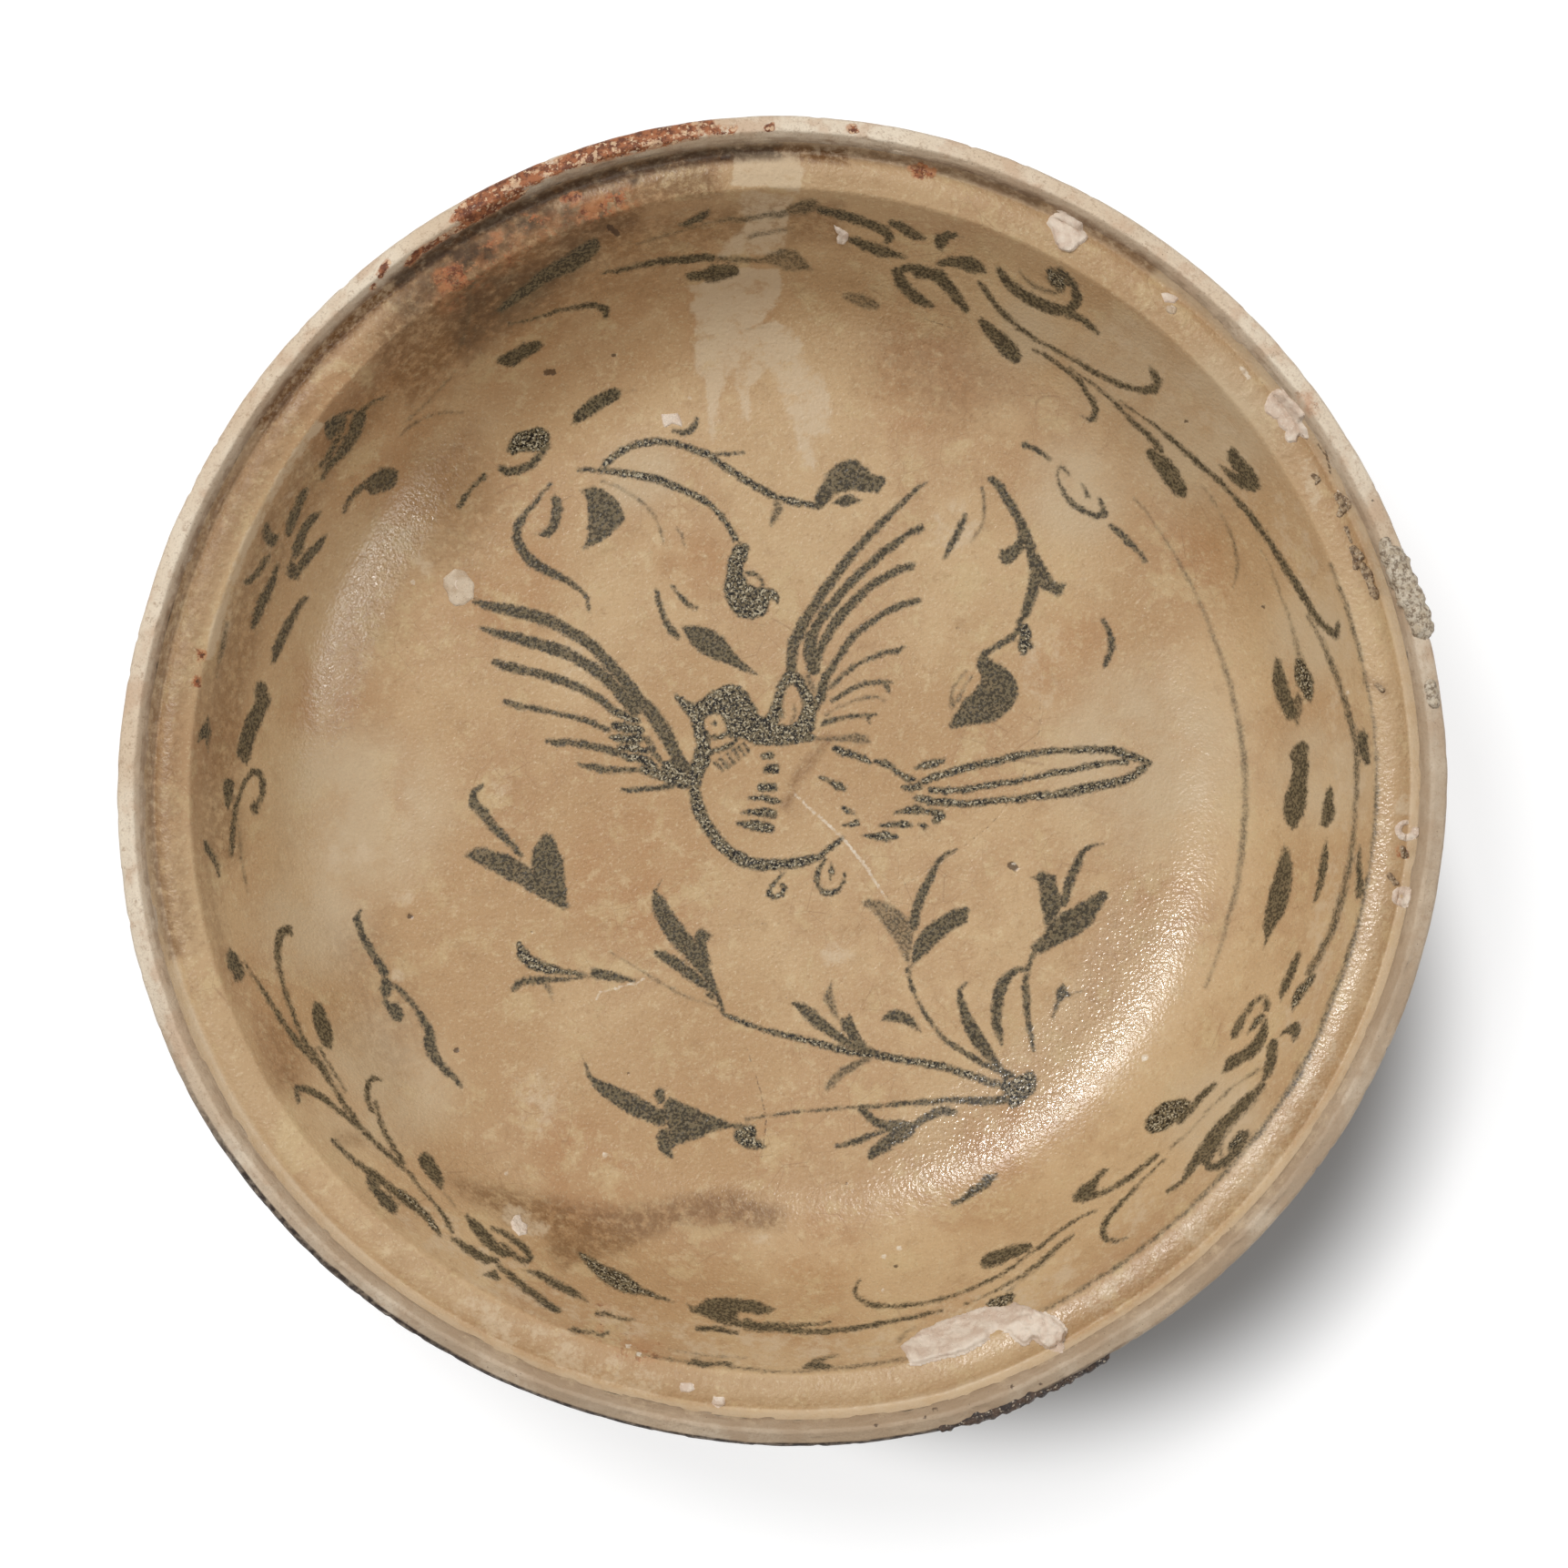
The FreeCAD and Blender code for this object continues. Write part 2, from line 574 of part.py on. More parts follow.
def build():
    doc = FreeCAD.newDocument("bowl")
    sheet = make_sheet(doc)

    clay = turned(doc, "clay_body", INSIDE_CORNERS + LIP_CORNERS + OUTSIDE_CORNERS + FOOT_CORNERS)
    inside = turned(doc, "inner_glaze", INSIDE_CORNERS + INSIDE_COAT_CORNERS)
    outside = turned(
        doc, "outer_glaze",
        [corner("coat_start", COAT_TOP_ACROSS, COAT_TOP_UP)] + OUTSIDE_CORNERS
        + OUTSIDE_COAT_CORNERS[:-1],
    )
    finished = doc.addObject("Part::MultiFuse", "finished_bowl")
    finished.Shapes = [clay, inside, outside]
    doc.recompute()

    lime_surface = raise_surface(doc, "lime_surface", finished, size(sheet, "lime_thickness"))
    plate_surface = raise_surface(doc, "plate_surface", finished,
                                  size(sheet, "scar_plate_thickness"))
    flange = size(sheet, "flange_width")
    ridge = size(sheet, "rim_radius") - size(sheet, "lip_width") - flange
    pieces = [clay, inside, outside]
    pieces += make_lime(doc, sheet, finished, lime_surface, ridge, flange)
    pieces.append(make_scars(doc, sheet, finished, plate_surface, ridge, flange))
    pieces.append(make_crust(doc, sheet, finished, ridge, flange))
    pieces += make_rim_lumps(doc, sheet, finished)
    pieces.append(make_kiln_crust(doc, sheet, finished))
    doc.recompute()
    return doc, pieces


def check(doc, pieces):
    failed = [o.Name for o in doc.Objects if "Invalid" in o.State or "Error" in o.State]
    if failed:
        raise RuntimeError(f"objects that did not compute: {failed}")
    for piece in pieces:
        if piece.Shape.isNull() or not piece.Shape.isValid() or not piece.Shape.Solids:
            raise RuntimeError(f"{piece.Label} has no valid solid")
    for o in doc.Objects:
        if o.TypeId == "Sketcher::SketchObject" and o.solve() != 0:
            raise RuntimeError(f"{o.Name} does not solve")


def main():
    doc, pieces = build()
    check(doc, pieces)
    os.makedirs("parts", exist_ok=True)
    for piece in pieces:
        piece.Shape.exportStep(os.path.join("parts", piece.Label + ".step"))
        print(piece.Label, len(piece.Shape.Solids), "solids", round(piece.Shape.Volume, 2), "mm3")


main()
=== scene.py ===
import math

import bpy
import numpy as np
from mathutils import Matrix, Vector


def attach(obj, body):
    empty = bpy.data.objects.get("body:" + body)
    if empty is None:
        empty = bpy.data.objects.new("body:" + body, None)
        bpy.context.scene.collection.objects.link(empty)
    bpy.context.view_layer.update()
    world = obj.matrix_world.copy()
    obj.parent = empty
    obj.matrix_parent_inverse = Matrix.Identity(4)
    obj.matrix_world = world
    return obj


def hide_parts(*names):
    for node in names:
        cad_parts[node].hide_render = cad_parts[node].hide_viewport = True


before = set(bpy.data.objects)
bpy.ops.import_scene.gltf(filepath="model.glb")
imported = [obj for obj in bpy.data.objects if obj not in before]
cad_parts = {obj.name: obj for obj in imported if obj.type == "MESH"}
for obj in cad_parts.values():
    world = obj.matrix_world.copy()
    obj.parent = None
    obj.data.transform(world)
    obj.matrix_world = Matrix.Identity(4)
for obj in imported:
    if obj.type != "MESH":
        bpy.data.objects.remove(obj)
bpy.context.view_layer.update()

# The script works in millimetres and divides by 1000 when a mesh is made.
PHOTO = 1723
PHOTO_MIDDLE = 861.5
RIM_MIDDLE = 860.5
FOCAL = 5632.0
AIM = np.array([0.96, -1.39, 80.0])
DISTANCE = 1350.0
LEAN, SWING = math.radians(2.2), math.radians(19)
BACK = np.array([
    math.sin(LEAN) * math.sin(SWING),
    -math.sin(LEAN) * math.cos(SWING),
    math.cos(LEAN),
])
RIGHT = np.cross([0.0, 1.0, 0.0], BACK)
RIGHT /= np.linalg.norm(RIGHT)
UP = np.cross(BACK, RIGHT)
EYE = AIM + BACK * DISTANCE

# How far the rim's outline is from the centre in the photo, every 15 degrees from +X towards +Y.
OUTLINE = [733.5, 731.5, 730, 729.5, 730.5, 732.5, 735.5, 734.5, 731.5, 730, 727, 727,
           731.5, 736.5, 737.5, 734.5, 729.5, 727.5, 732, 736.5, 727.5, 727.5, 729, 731.5]
OUTLINE_MEAN = 730.0

# Sections in radius, height and the corner's rounding.
LIP_EDGE = 168.06
RIDGE = 156.4
COAT_CELLS = 752
BODY_TURNS = 900
OUTER_TURNS = 720
COAT = [(0, 19.4, 0), (126.8, 20.9, 36), (150.6, 60.4, 70), (RIDGE, 72.8, 1.2), (161.6, 74.2, 9),
        (164.6, 73.6, 3), (166.1, 72.6, 1.2), (LIP_EDGE, 76.75, 0)]
CLAY_TOP = [(0, 18.8, 0), (127, 20.3, 36), (151.0, 60.1, 70), (156.7, 72.1, 1.2), (161.7, 73.5, 9),
            (164.7, 72.9, 3), (166.3, 71.9, 1.2), (168.4, 76.9, 0.3)]
LIP = [(170.4, 79.8, 0.8), (171.4, 79.75, 0.8), (174.4, 78.0, 0.9), (175.0, 76.6, 0.9), (174.75, 74.5, 1.0),
       (174.2, 71.5, 1.2)]
OUTSIDE = [(160.5, 65, 9), (133, 14.5, 32), (111.5, 11, 1.0)]
FOOT = [(110.15, 1.1, 0.8), (109.2, 0, 0.6), (102.8, 0, 0.6), (102, 0.9, 0.5), (100.5, 9, 1.2), (0, 9.8, 0)]
OUTER_COAT = [(174.62, 75.0, 0.2), (174.95, 74.4, 0.3), (174.62, 71.0, 1.6), (161.0, 64.4, 9),
              (133.4, 13.9, 32), (115.2, 10.2, 0.8), (113.4, 10.5, 0.3), (113.6, 11.6, 0)]


def rounded(corners, step=6.0):
    """Points along a line through the corners, each corner rounded to its radius."""
    out = [corners[0][:2]]
    for k in range(1, len(corners) - 1):
        p = np.array(corners[k][:2], float)
        u = np.array(corners[k - 1][:2], float) - p
        v = np.array(corners[k + 1][:2], float) - p
        lu, lv = np.linalg.norm(u), np.linalg.norm(v)
        u, v = u / lu, v / lv
        half = math.acos(max(-1, min(1, float(u @ v)))) / 2
        radius = corners[k][2]
        cut = min(radius / math.tan(half), lu * 0.5, lv * 0.5)
        radius = cut * math.tan(half)
        if radius < 0.02:
            out.append(tuple(p))
            continue
        mid = u + v
        mid /= np.linalg.norm(mid)
        centre = p + mid * radius / math.sin(half)
        a, b = p + u * cut - centre, p + v * cut - centre
        turn = math.pi - 2 * half
        n = max(2, int(math.degrees(turn) / step) + 1)
        for i in range(n + 1):
            f = i / n
            w = a * math.sin((1 - f) * turn) + b * math.sin(f * turn)
            out.append(tuple(centre + w / math.sin(turn)))
    out.append(corners[-1][:2])
    return np.array(out)


def spaced(points, gap):
    """The same line with extra points, so that no step is longer than gap(r, z)."""
    out = [points[0]]
    for a, b in zip(points, points[1:]):
        length = float(np.linalg.norm(b - a))
        if length < 1e-4:
            continue
        mid = (a + b) / 2
        n = max(1, math.ceil(length / gap(mid[0], mid[1])))
        out += [a + (b - a) * (i + 1) / n for i in range(n)]
    return np.array(out)


def smooth(x, lo, hi):
    """Rises softly from zero at lo to one at hi."""
    t = np.clip((x - lo) / (hi - lo), 0, 1)
    return t * t * (3 - 2 * t)


def band(x, lo, hi, soft):
    """One between lo and hi, falling to zero over soft on both sides."""
    return smooth(x, lo - soft, lo + soft) * (1 - smooth(x, hi - soft, hi + soft))


TABLE = np.random.default_rng(11).random((48, 48, 48))


def grain(p, size, seed=0):
    """Smooth seeded noise from -1 to 1, with lumps of about that size."""
    q = np.asarray(p, float) / size + seed * 7.31
    i = np.floor(q).astype(int)
    f = q - i
    f = f * f * (3 - 2 * f)
    total = 0
    for corner in range(8):
        d = [corner >> k & 1 for k in range(3)]
        w = 1
        for k in range(3):
            w = w * (f[..., k] if d[k] else 1 - f[..., k])
        total = total + w * TABLE[tuple((i[..., k] + d[k]) % 48 for k in range(3))]
    return total * 2 - 1


def warped(p):
    """Pulls a point of the round bowl out or in, as the real rim's outline is not quite a circle."""
    r = np.hypot(p[..., 0], p[..., 1])
    angle = np.degrees(np.arctan2(p[..., 1], p[..., 0])) % 360
    k = np.interp(angle, np.arange(25) * 15.0, OUTLINE + OUTLINE[:1]) / OUTLINE_MEAN
    s = 1 + (k - 1) * smooth(r, 112, 170)
    out = np.array(p, float)
    out[..., 0] *= s
    out[..., 1] *= s
    lift = 0.25 * np.sin(np.radians(angle * 2 + 40)) * smooth(r, 130, 170) * smooth(out[..., 2], 30, 74)
    out[..., 2] += np.where(out[..., 2] > 30, lift - 0.25 * smooth(r, 130, 170), 0)
    return out


def to_photo(p):
    """Where the photo shows a point of the bowl, in its pixels."""
    q = p - EYE
    depth = -(q @ BACK)
    return PHOTO_MIDDLE + FOCAL * (q @ RIGHT) / depth, PHOTO_MIDDLE - FOCAL * (q @ UP) / depth


COAT_LINE = rounded(COAT, 3.0)
CLAY_LINE = rounded(CLAY_TOP, 3.0)


def coat_z(r):
    """The glazed inside's height at a radius."""
    return np.interp(r, COAT_LINE[:, 0], COAT_LINE[:, 1])


def clay_z(r):
    """The clay's height under the glaze at a radius."""
    return np.interp(r, CLAY_LINE[:, 0], CLAY_LINE[:, 1])


def from_photo(x, y):
    """The point of the glazed inside that the photo shows at a pixel."""
    x, y = np.asarray(x, float), np.asarray(y, float)
    ray = RIGHT * ((x - PHOTO_MIDDLE) / FOCAL)[..., None] - UP * ((y - PHOTO_MIDDLE) / FOCAL)[...,
            None] - BACK
    z = np.full(x.shape, 40.0)
    for _ in range(14):
        p = EYE + ray * ((z - EYE[2]) / ray[..., 2])[..., None]
        flat = p.copy()
        flat[..., 2] = 50
        r = np.hypot(p[..., 0], p[..., 1])
        s = np.hypot(*np.moveaxis(warped(flat)[..., :2], -1, 0)) / np.maximum(r, 1e-6)
        z = 0.5 * z + 0.5 * coat_z(r / s)
    p[..., 2] = z
    return p


STROKES = []


def L(t, *p):
    """A brush line: how dark it is, then x, y and width along it."""
    STROKES.append(("l", t, p))


def C(t, *p):
    """A filled outline: how dark it is, then x and y round it."""
    STROKES.append(("c", t, p))


D, M, P, F = 1.0, 0.88, 0.55, 0.36
# spiral and upper left spray
C(D, 557,496, 559,486, 568,475, 582,471, 594,470, 602,474, 605,482, 602,492, 596,498, 589,497, 573,497,
  563,500)
L(M, 601,488,9, 594,500,9, 583,511,10, 569,517,11, 557,519,9, 551,515,9)
L(M, 532,523,7, 522,532,6, 512,545,7, 505,556,8)
C(M, 627,467, 630,455, 640,445, 650,437, 662,430, 674,425, 682,428, 684,434, 680,440, 666,446, 655,455,
  645,461, 635,466)
L(P, 683,429,4, 690,430,3, 699,429,2)
L(M, 741,474,5, 748,476,8, 757,474,8, 764,467,8, 766,460,5)
L(D, 665,511,8, 672,503,8, 684,495,8, 700,488,8, 720,485,8, 740,487,8, 760,493,8, 780,500,8, 790,508,8,
  815,525,9, 845,543,8, 855,547,8, 870,551,8, 897,556,7)
L(M, 778,500,5, 795,499,5, 817,497,3)
C(P, 848,548, 860,548, 862,560, 858,567, 852,577, 846,578, 845,570, 849,560)
C(M, 893,557, 895,545, 902,533, 908,520, 918,510, 930,505, 940,504, 950,512, 960,521, 972,524, 974,530,
  967,541, 955,541, 940,539, 925,541, 918,545, 912,551, 905,558, 899,561)
C(M, 912,553, 920,548, 930,543, 938,544, 948,550, 940,555, 928,557)
L(D, 636,516,5, 665,517,6, 680,519,9, 700,522,9, 720,526,9, 740,534,9, 760,543,9, 772,549,8, 783,557,7,
  793,568,7, 802,580,7, 808,592,7)
C(D, 806,600, 812,596, 820,597, 824,603, 822,612, 818,620, 817,630, 822,640, 832,645, 843,645, 851,648,
  857,657, 855,663, 849,659, 845,662, 845,670, 838,677, 825,681, 812,678, 802,669, 797,658, 795,642,
  798,625, 801,612)
L(D, 820,629,5, 830,631,5, 837,638,5, 838,643,4)
L(P, 662,529,4, 672,532,5, 685,538,5, 698,546,5, 710,556,5, 720,568,5, 726,582,4, 729,598,3)
C(M, 637,539, 644,536, 652,534, 663,538, 674,545, 682,555, 687,567, 686,574, 678,580, 668,591, 655,598,
  645,603, 640,606, 640,600, 645,594, 646,560, 645,548)
C(M, 604,545, 610,543, 617,548, 619,560, 616,575, 610,586, 603,591, 588,588, 593,585, 601,580, 605,570,
  606,555)
L(M, 606,532,4, 597,540,5, 588,552,6, 578,564,8, 569,578,11, 568,592,12, 574,605,12, 585,617,13, 600,627,12,
  615,634,10, 628,641,7, 640,650,5, 646,659,4, 647,672,3)
L(P, 744,581,3, 750,588,4, 752,600,3)
L(M, 739,644,4, 747,655,6, 757,665,7, 765,668,6)
L(M, 721,648,4, 724,662,7, 729,678,8, 737,692,9, 745,700,8)
C(M, 748,686, 756,686, 770,688, 785,693, 797,700, 803,710, 808,718, 820,730, 834,742, 826,741, 812,736,
  800,730, 785,726, 770,718, 760,710, 753,700)
# left wing
L(M, 523,661,8, 535,666,10, 555,669,13, 580,675,14, 600,681,15, 620,690,14, 640,702,14, 655,713,13,
  668,727,13, 682,743,14, 693,757,15, 704,771,16, 718,786,18, 730,803,18, 738,820,16, 745,836,16,
  753,847,18)
L(M, 530,690,6, 545,696,9, 565,700,12, 590,707,14, 610,713,15, 630,721,14, 654,736,14, 668,748,14,
  680,760,15, 688,770,15, 697,781,14)
L(M, 543,727,8, 555,732,12, 580,738,11, 600,742,10, 620,749,12, 640,757,11, 660,769,10, 673,779,9)
L(M, 555,771,6, 568,776,9, 580,777,7, 600,781,7, 630,788,7, 650,794,7, 668,802,7)
L(M, 601,814,5, 612,816,9, 625,816,8, 640,818,10, 655,821,9, 672,825,9, 683,829,7)
L(M, 636,840,4, 650,843,9, 663,846,10, 680,846,8, 700,846,7)
L(M, 684,868,5, 695,868,6, 710,867,6, 725,866,7, 738,863,9, 748,858,10)
L(D, 672,781,8, 685,786,10, 700,792,10)
L(D, 675,797,9, 688,800,13, 702,803,12)
L(D, 672,810,6, 685,812,11, 703,812,11)
L(D, 682,822,8, 697,822,10, 711,825,6)
L(D, 683,829,7, 692,833,10, 700,833,8)
L(D, 701,833,10, 712,838,12, 719,842,8)
L(D, 705,845,9, 718,849,12, 730,853,12, 742,857,12)
L(M, 705,806,4, 712,818,6, 720,830,6, 728,838,6)
L(M, 712,812,5, 719,824,5)
C(D, 726,836, 740,834, 752,840, 760,850, 762,862, 756,868, 744,866, 732,858, 726,848)
# head and neck
C(D, 740,762, 750,766, 757,772, 764,773, 770,768, 780,760, 792,754, 802,751, 814,755, 822,762, 828,770,
  832,778, 835,786, 840,788, 846,780, 852,790, 860,800, 875,806, 893,807, 893,814, 888,816, 872,818,
  860,820, 840,820, 830,819, 820,814, 814,812, 802,812, 799,803, 797,796, 792,790, 784,785, 777,790,
  775,798, 774,800, 778,812, 781,824, 780,836, 774,848, 770,858, 764,858, 762,845, 764,832, 768,824,
  768,814, 763,803, 759,792, 754,784, 748,776, 742,768)
L(D, 774,803,5, 780,809,6, 788,811,6, 797,808,6, 805,801,6)
L(D, 781,826,6, 792,823,7, 803,818,6, 812,811,5)
for a, b, c, d in ((786,838,794,847), (792,834,800,843), (799,829,806,838), (806,824,812,834),
                   (812,820,818,830), (817,817,823,826)):
    L(D, a, b, 4, c, d, 4)
STROKES.append(("e", 0, (784,794.5,19.5,785,794.5,19.5)))
L(D, 783.5,795,5.5, 785,795,5.5)
L(D, 765,790,14, 769,806,14, 773,820,16, 771,836,20, 764,850,18, 763,866,13, 765,880,14, 771,897,15,
  780,913,14, 791,927,14, 805,939,14, 822,948,14, 840,951,13, 860,950,12, 880,947,11, 900,942,8, 912,932,7,
  926,921,5)
# dots
L(D, 840,830,9, 846,830,9)
L(D, 843,845,10, 853,845,10)
L(D, 837,865,10, 849,865,10)
L(D, 825,877,4, 838,877,7, 850,880,8, 857,881,5)
L(D, 816,893,4, 828,892,8, 840,893,12, 850,894,10)
L(D, 811,905,4, 822,906,10, 835,908,14, 846,910,10)
L(D, 917,823,6, 927,827,10, 940,830,8, 950,834,8, 956,838,4)
L(D, 962,837,4, 972,839,9, 981,843,6)
L(D, 977,844,4, 987,849,7, 997,855,9, 1004,857,6)
L(D, 1006,844,4, 1016,841,10, 1028,838,10, 1036,836,6)
L(D, 902,854,4, 912,859,6, 921,864,11, 927,866,7)
L(D, 926,888,4, 933,892,6, 938,895,3)
L(D, 926,907,2, 934,906,6, 941,904,8)
L(D, 992,865,5, 1003,866,8, 1012,864,8)
L(D, 984,893,4, 996,891,8, 1008,890,11, 1013,890,8)
L(D, 1014,892,4, 1025,892,8, 1034,896,10, 1028,902,8)
L(D, 967,908,4, 980,907,6, 992,906,10, 1000,907,6)
L(D, 1009,905,3, 1016,908,7)
L(D, 948,918,3, 960,920,7, 973,919,12, 984,919,6)
# tail
L(D, 1010,862,8, 1020,856,8, 1040,850,8, 1060,844,9, 1080,840,9, 1100,835,9, 1120,830,9, 1140,827,8,
  1160,825,8, 1180,824,8, 1200,824,9, 1220,824,9, 1236,828,10, 1248,833,10, 1264,838,6)
L(D, 1024,868,8, 1040,869,8, 1060,868,8, 1080,864,7, 1100,861,7, 1120,858,7, 1140,854,6, 1160,849,7,
  1180,846,7, 1200,841,7, 1220,838,6, 1238,837,8)
L(D, 1008,877,8, 1020,880,9, 1040,882,9, 1060,883,8, 1080,882,8, 1100,879,8, 1120,878,8, 1140,875,8,
  1160,873,9, 1180,869,12, 1200,865,12, 1220,861,10, 1234,858,11, 1246,852,10, 1256,844,8, 1264,838,6)
# claws
L(D, 862,959,3, 854,966,4, 847,975,5, 845,983,7, 851,986,7, 859,983,7, 862,977,7, 859,973,5)
L(D, 907,944,4, 900,955,5, 898,965,6, 899,974,6, 906,981,7, 915,981,7, 923,976,5, 928,968,4, 928,959,3)
L(D, 913,949,3, 914,957,7, 912,965,3)
# right wing
L(D, 849,800,14, 852,782,12, 855,766,11, 861,752,12, 869,744,16, 879,750,13, 887,764,14, 890,780,18,
  886,796,20, 872,806,20)
L(D, 822,804,20, 840,805,28, 860,808,24, 880,808,18, 893,811,8)
L(F, 870,772,3, 875,784,3)
L(M, 1018,530,3, 1008,537,5, 995,549,7, 980,564,8, 965,578,9, 950,594,10, 935,611,11, 920,630,12,
  905,650,13, 893,668,13, 881,688,14, 873,705,14, 870,720,13, 869,736,12)
L(M, 1012,580,8, 1000,585,9, 985,596,9, 970,608,10, 955,621,11, 940,635,11, 925,651,11, 910,669,12,
  898,686,12, 891,702,14, 891,718,18, 894,735,16)
L(M, 1001,622,10, 988,625,9, 970,636,10, 955,645,11, 940,659,12, 925,675,12, 915,690,12, 907,702,12,
  901,715,11, 897,728,10)
L(M, 1008,660,9, 995,663,8, 975,672,8, 955,685,8, 940,697,9, 928,712,9, 918,728,9, 910,740,10, 905,752,12,
  902,768,12)
L(M, 994,711,4, 986,715,7, 970,718,6, 950,726,6, 936,734,6, 924,744,6, 914,754,6)
L(M, 980,750,4, 968,750,6, 952,751,6, 936,757,6, 924,764,6, 914,770,5)
L(M, 974,752,5, 976,759,5)
L(P, 973,771,3, 966,766,5, 952,766,5, 936,771,5, 920,778,5, 908,785,5)
L(M, 962,785,4, 952,786,6, 936,787,6, 920,790,6, 904,795,6)
L(M, 954,788,5, 955,795,4)
L(P, 893,812,4, 910,812,5, 925,811,8, 938,811,13, 948,812,12, 954,815,6)
# right spray
C(M, 1036,614, 1039,603, 1046,588, 1053,573, 1060,562, 1063,565, 1061,577, 1055,590, 1048,602, 1041,613)
L(P, 1079,537,5, 1081,550,5, 1082,565,4, 1079,578,4, 1073,588,4, 1067,595,4)
L(M, 1090,527,10, 1100,537,10, 1110,553,11, 1118,568,11, 1125,583,12, 1131,600,13, 1136,618,13, 1137,632,13,
  1135,648,13, 1131,662,12, 1126,676,10, 1121,684,9)
C(M, 1118,580, 1124,582, 1127,592, 1126,604, 1118,614, 1108,621, 1101,619, 1098,612, 1098,604, 1107,602,
  1113,598, 1117,590)
C(M, 1138,604, 1142,608, 1147,620, 1155,632, 1162,640, 1171,642, 1169,650, 1162,658, 1155,652, 1145,648,
  1138,640)
C(D, 1122,686, 1128,684, 1133,692, 1134,702, 1137,710, 1131,715, 1126,721, 1121,719, 1118,711, 1120,702,
  1119,694)
L(M, 1121,690,9, 1112,700,8, 1100,708,8, 1088,714,8, 1080,720,8)
C(M, 1078,720, 1086,722, 1100,730, 1110,739, 1118,750, 1119,762, 1112,778, 1100,790, 1086,795, 1066,798,
  1052,800, 1045,802, 1042,797, 1046,788, 1060,768, 1072,756, 1078,748, 1077,741, 1072,733, 1073,724)
L(P, 1061,738,3, 1054,746,4, 1048,755,5, 1045,765,7, 1047,775,8)
L(P, 1068,744,3, 1061,752,4, 1056,762,6, 1052,770,6)
L(M, 1212,682,5, 1218,692,7, 1222,703,8, 1222,713,9, 1218,722,7, 1214,732,4)
L(M, 1126,489,8, 1134,492,7, 1146,499,6, 1154,505,5)
L(M, 1175,522,3, 1171,516,4, 1165,513,4, 1162,518,4, 1163,530,5, 1170,544,7, 1180,555,7, 1192,562,7,
  1204,567,7, 1213,565,9, 1212,558,7, 1208,548,5)
C(M, 1188,530, 1193,535, 1198,545, 1199,549, 1194,547, 1189,537)
L(M, 1220,577,5, 1230,586,9, 1242,597,8, 1252,607,6, 1258,616,6)
# tulip leaf left
L(M, 529,863,5, 520,872,9, 521,884,12, 532,894,13, 540,906,12, 552,918,10, 564,930,8, 572,940,6)
C(M, 509,941, 515,935, 525,931, 535,932, 548,936, 560,940, 572,945, 582,953, 592,965, 600,976, 612,985,
  624,998, 618,1000, 605,992, 590,984, 572,974, 555,965, 540,957, 525,949)
C(M, 600,915, 607,917, 611,925, 615,935, 619,943, 621,955, 621,970, 623,985, 626,997, 620,1000, 608,992,
  598,985, 590,975, 585,965, 583,955, 583,945, 585,935, 590,925, 595,918)
L(D, 570,1038,6, 574,1048,13, 584,1058,14, 600,1064,12, 616,1068,10, 630,1069,6, 645,1072,4)
L(M, 564,1087,6, 570,1080,9, 582,1077,10, 598,1077,9, 615,1076,7, 630,1075,4, 655,1073,3)
L(P, 600,1080,10, 604,1088,8, 606,1096,5, 608,1101,2)
C(M, 650,1064, 660,1064, 675,1068, 690,1073, 703,1077, 697,1080, 680,1080, 665,1077, 655,1076, 648,1073)
L(P, 670,1046,2, 690,1058,2, 700,1064,3, 716,1074,5, 730,1082,5, 744,1090,5, 760,1098,4, 780,1103,4,
  794,1108,5)
C(M, 727,967, 722,980, 728,984, 733,993, 742,1006, 752,1018, 761,1029, 770,1040, 778,1055, 783,1070,
  788,1085, 794,1100, 799,1117, 793,1115, 785,1095, 775,1080, 765,1066, 752,1052, 738,1038, 726,1020,
  718,1004, 715,990, 718,978)
C(M, 766,1022, 772,1020, 780,1025, 783,1028, 779,1033, 776,1037, 779,1048, 783,1060, 776,1060, 768,1045,
  762,1035, 762,1028)
L(M, 722,1047,8, 732,1052,12, 745,1060,14, 757,1069,14, 768,1077,12, 778,1084,10, 787,1090,8)
L(M, 776,1092,4, 780,1094,8, 785,1096,5)
C(M, 640,1161, 652,1184, 660,1186, 680,1195, 700,1203, 718,1214, 740,1224, 730,1238, 720,1237, 700,1229,
  680,1218, 660,1204, 644,1182)
C(M, 717,1203, 720,1198, 726,1195, 731,1199, 732,1207, 728,1214, 722,1214, 720,1208)
C(M, 728,1214, 736,1205, 750,1212, 770,1220, 786,1227, 800,1232, 820,1236, 828,1239, 820,1241, 800,1241,
  782,1244, 766,1252, 750,1257, 738,1259, 735,1245, 730,1232)
C(M, 735,1238, 725,1240, 721,1250, 723,1262, 730,1270, 740,1274, 738,1264, 742,1258, 748,1250)
C(D, 805,1245, 808,1240, 815,1237, 830,1236, 832,1242, 831,1250, 838,1256, 842,1260, 835,1262, 825,1263,
  815,1260, 808,1254)
